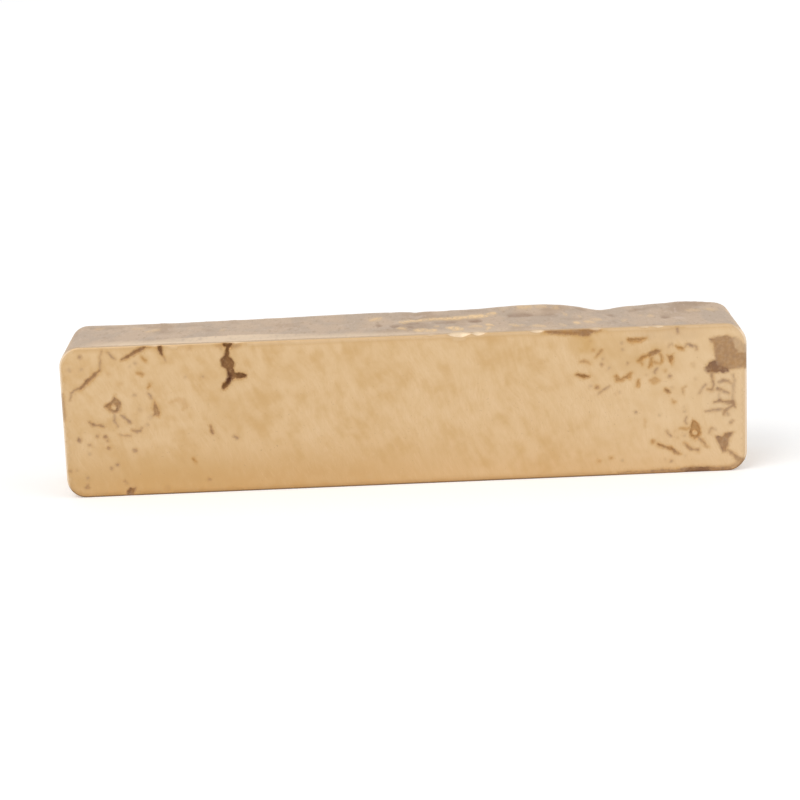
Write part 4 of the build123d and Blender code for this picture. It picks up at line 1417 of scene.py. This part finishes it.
def pits(n):
    """Colour of the oxide in the pits, with painted shade in the darkest, how far it covers the metal, and
    the haze round it.
    """
    gap, dark, amber = n.read("gap", "dark", "amber")
    grain = n.noise(0.42, detail=3, shift=(1, 4, 0))
    mottle = n.noise(0.8, detail=3, shift=(8, 1, 6))
    blotches = n.noise(1.4, detail=3, shift=(5, 0, 2))
    off_grain = n.math("SUBTRACT", grain, 0.5)
    off_blotches = n.math("SUBTRACT", blotches, 0.5)
    fringe = n.plus(gap, n.times(off_grain, 0.5), n.times(off_blotches, 0.3))
    core = n.ramp(fringe, 0.1, -0.3, 0.88, 1.2)
    strength = n.times(n.math("POWER", dark, 0.75), n.ramp(mottle, 0.34, 0.60, 0.84, 1.06), core)
    cover = n.times(n.ramp(fringe, 0.50, -0.36), strength)
    crumbs = n.times(n.ramp(grain, 0.58, 0.70), n.ramp(gap, 1.1, 0.15), dark, 0.6)
    cover = n.math("MINIMUM", n.math("MAXIMUM", cover, crumbs), 1.0)
    far_halo = n.times(n.ramp(gap, 1.1, 0.0), dark, n.ramp(blotches, 0.35, 0.65, 0.1, 0.55))
    near_halo = n.times(n.ramp(gap, 0.6, 0.0), dark, 0.6)
    halo = n.math("MAXIMUM", far_halo, near_halo)
    hue = n.plus(amber, off_blotches, n.ramp(fringe, -0.2, 0.2, 0.0, 0.5))
    hue = n.math("MINIMUM", n.math("MAXIMUM", hue, 0.0), 1.0)
    haze = n.mix(hue, STAIN_GREY, STAIN_AMBER)
    colour = n.mix(hue, PIT_DULL, PIT_AMBER)
    # The darkest marks, the deep cracks and cavities, get painted shade of their depth on top of the oxide
    darkest_with_painted_shade = n.times(n.ramp(dark, 0.74, 0.94), n.ramp(mottle, 0.3, 0.6, 0.75, 1.0))
    colour = n.mix(darkest_with_painted_shade, colour, PIT_DEEP_SHADE)
    return colour, cover, haze, halo


def casting_skin(n):
    """Colour, metal share, roughness and relief of the casting skin, with painted shade in the grooves of the
    top side and a painted reflection along the crest.
    """
    streak, shade, pale, rub, wear, crest, upward = n.read(
        "streak", "shade", "pale", "rub", "wear", "crest", "upward"
    )
    elsewhere = n.ramp(upward, 0.95, 0.75)
    clouds = n.noise(5.0, detail=4, stretch=1.2, deepen=2.0)
    patches = n.noise(9.0, detail=4, stretch=1.2, shift=(4, 1, 3), deepen=1.6)
    specks = n.noise(0.9, detail=3, shift=(9, 2, 0), deepen=2.2)
    gleams = n.noise(3.2, detail=4, stretch=1.6, shift=(1, 6, 2))
    pocks = n.noise(1.2, detail=2, shift=(3, 3, 8))
    grain = n.noise(0.35, detail=2, shift=(2, 8, 1))
    colour = n.mix(n.ramp(clouds, 0.40, 0.60), SKIN_GREY, SKIN_PINK)
    colour = n.mix(n.ramp(patches, 0.52, 0.68, 0.0, 0.55), colour, SKIN_BROWN)
    colour = n.mix(n.ramp(specks, 0.56, 0.72, 0.0, 0.45), colour, SKIN_BROWN)
    colour = n.mix(n.ramp(specks, 0.42, 0.30, 0.0, 0.4), colour, SKIN_PALE)
    colour = n.mix(n.ramp(grain, 0.35, 0.65, 0.22, 0.0), colour, SKIN_BROWN)
    broken = n.ramp(n.plus(n.times(specks, 0.6), n.times(grain, 0.4)), 0.36, 0.56)
    colour = n.mix(n.times(elsewhere, n.ramp(patches, 0.35, 0.62, 0.85, 0.45)), colour, SKIN_BRONZE)
    colour = n.mix(n.times(elsewhere, n.ramp(pocks, 0.62, 0.74, 0.0, 0.45)), colour, SKIN_DARK)
    # Painted shade in the grooves of the top side, partly darker skin
    colour = n.mix(n.times(shade, n.ramp(grain, 0.3, 0.7, 0.65, 1.0)), colour, SKIN_DARK)
    colour = n.mix(n.times(pale, 0.8), colour, SKIN_PALE)
    colour = n.mix(n.times(rub, n.ramp(specks, 0.72, 0.45, 0.64, 0.84)), colour, RUBBED_SKIN)
    # Painted reflection of the white surroundings along the rolled rear edge
    colour = n.mix(n.times(crest, n.ramp(specks, 0.35, 0.6, 0.95, 0.6)), colour, CREST_PALE_REFLECTION)
    worn = n.times(wear, n.ramp(clouds, 0.46, 0.62), n.ramp(specks, 0.40, 0.60), 0.8)
    bright = n.times(elsewhere, n.ramp(gleams, 0.42, 0.70), n.ramp(specks, 0.30, 0.62, 0.3, 1.0), 0.5)
    metal = n.math("MAXIMUM", n.times(streak, n.ramp(broken, 0.0, 1.0, 0.35, 1.0)), worn)
    metal = n.math("MAXIMUM", metal, bright)
    colour = n.mix(metal, colour, STREAK_GOLD)
    metallic = n.blend(metal, n.ramp(elsewhere, 0.0, 1.0, TOP_METALLIC, SKIN_METALLIC), 1.0)
    roughness = n.ramp(elsewhere, 0.0, 1.0, TOP_ROUGHNESS, SKIN_ROUGHNESS)
    roughness = n.blend(n.math("MAXIMUM", metal, n.times(rub, 0.7)), roughness, BRIGHT_ROUGHNESS)
    sunk_pocks = n.times(elsewhere, n.ramp(pocks, 0.58, 0.74, 0.0, -0.6))
    height = n.plus(n.times(specks, 0.55), n.times(grain, 0.25), n.times(clouds, 0.5), sunk_pocks)
    height = n.times(height, n.ramp(rub, 0.0, 1.0, 1.0, 0.35))
    return colour, metallic, roughness, height


def brass_material():
    """Cast brass: a ground face with pits, and grey-beige casting skin on the other sides."""
    material = bpy.data.materials.new("cast_brass")
    n = Nodes(material)
    metal_colour, metal_roughness, metal_height = ground_metal(n)
    pit_colour, pit_cover, pit_haze, pit_halo = pits(n)
    skin_colour, skin_metallic, skin_roughness, skin_height = casting_skin(n)

    face_colour = n.mix(pit_cover, n.mix(pit_halo, metal_colour, pit_haze), pit_colour)
    face_metallic = n.blend(pit_cover, 1.0, PIT_METALLIC)
    face_roughness = n.blend(pit_cover, metal_roughness, PIT_ROUGHNESS)

    edge_grain = n.noise(0.5, detail=3, shift=(6, 3, 1))
    skin = n.plus(*n.read("skin"), n.times(n.math("SUBTRACT", edge_grain, 0.5), 0.8))
    skin_share = n.ramp(skin, 0.35, 0.65)
    fine = n.bump(metal_height, *METAL_BUMP)
    inputs = {
        "Base Color": n.mix(skin_share, face_colour, skin_colour),
        "Metallic": n.blend(skin_share, face_metallic, skin_metallic),
        "Roughness": n.blend(skin_share, face_roughness, skin_roughness),
        "Normal": n.bump(n.times(skin_height, skin_share), *SKIN_BUMP, Normal=fine),
    }
    shader = n.add("ShaderNodeBsdfPrincipled", inputs)
    n.add("ShaderNodeOutputMaterial", {"Surface": shader.outputs[0]})
    return material


bar.data.materials.append(brass_material())
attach(bar, "root")
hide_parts("cast_bar")


# Floor, backdrop and light

# Strength of the even light all round
WORLD_LIGHT = 0.62
# Half the width of the floor in metres, and the share of light that it sends back
FLOOR_HALF, FLOOR_ALBEDO = 4.0, 0.9
# Light that the camera sees added to the floor: its strength near the bar and far away, and both distances in
# metres
LIFT_NEAR, LIFT_FAR = 0.24, 0.6
LIFT_FROM, LIFT_TO = 0.10, 1.2
WHITE = (1.0, 1.0, 1.0, 1.0)


def floor_material():
    """Pale matt floor, lifted to white for the camera where no shadow lies on it."""
    material = bpy.data.materials.new("pale_floor")
    n = Nodes(material)
    matt = n.add("ShaderNodeBsdfDiffuse", {"Color": (FLOOR_ALBEDO, FLOOR_ALBEDO, FLOOR_ALBEDO, 1.0)})
    away = n.add("ShaderNodeVectorMath", {0: n.object}, operation="LENGTH").outputs["Value"]
    lifted = n.ramp(away, LIFT_FROM, LIFT_TO, LIFT_NEAR, LIFT_FAR)
    lift = n.add("ShaderNodeEmission", {"Strength": n.times(n.seen_rays(), lifted)})
    both = n.add("ShaderNodeAddShader", {0: matt.outputs[0], 1: lift.outputs[0]})
    n.add("ShaderNodeOutputMaterial", {"Surface": both.outputs[0]})
    return material


def build_floor():
    """A wide level floor."""
    mesh = bpy.data.meshes.new("floor")
    corners = [(-1, -1), (1, -1), (1, 1), (-1, 1)]
    mesh.from_pydata([(x * FLOOR_HALF, y * FLOOR_HALF, 0) for x, y in corners], [], [(0, 1, 2, 3)])
    mesh.materials.append(floor_material())
    floor = bpy.data.objects.new("floor", mesh)
    bpy.context.scene.collection.objects.link(floor)


def build_world():
    """Even pale light all round, and a white backdrop for the camera."""
    world = bpy.data.worlds.new("studio")
    bpy.context.scene.world = world
    n = Nodes(world)
    strength = n.blend(n.seen_rays(), WORLD_LIGHT, 1.0)
    background = n.add("ShaderNodeBackground", {"Color": WHITE, "Strength": strength})
    n.add("ShaderNodeOutputWorld", {"Surface": background.outputs[0]})


def lamp(name, place_m, size_m, watts):
    """A square soft light that points at the bar."""
    data = bpy.data.lights.new(name, "AREA")
    data.size = size_m
    data.energy = watts
    light = bpy.data.objects.new(name, data)
    light.location = place_m
    light.rotation_euler = (-Vector(place_m)).to_track_quat("-Z", "Y").to_euler()
    bpy.context.scene.collection.objects.link(light)


build_floor()
build_world()
lamp("key", (-0.9, -0.9, 1.6), 1.2, 14.0)
lamp("fill", (1.2, -0.6, 1.2), 1.2, 4.0)
bpy.context.scene.view_settings.view_transform = "Standard"
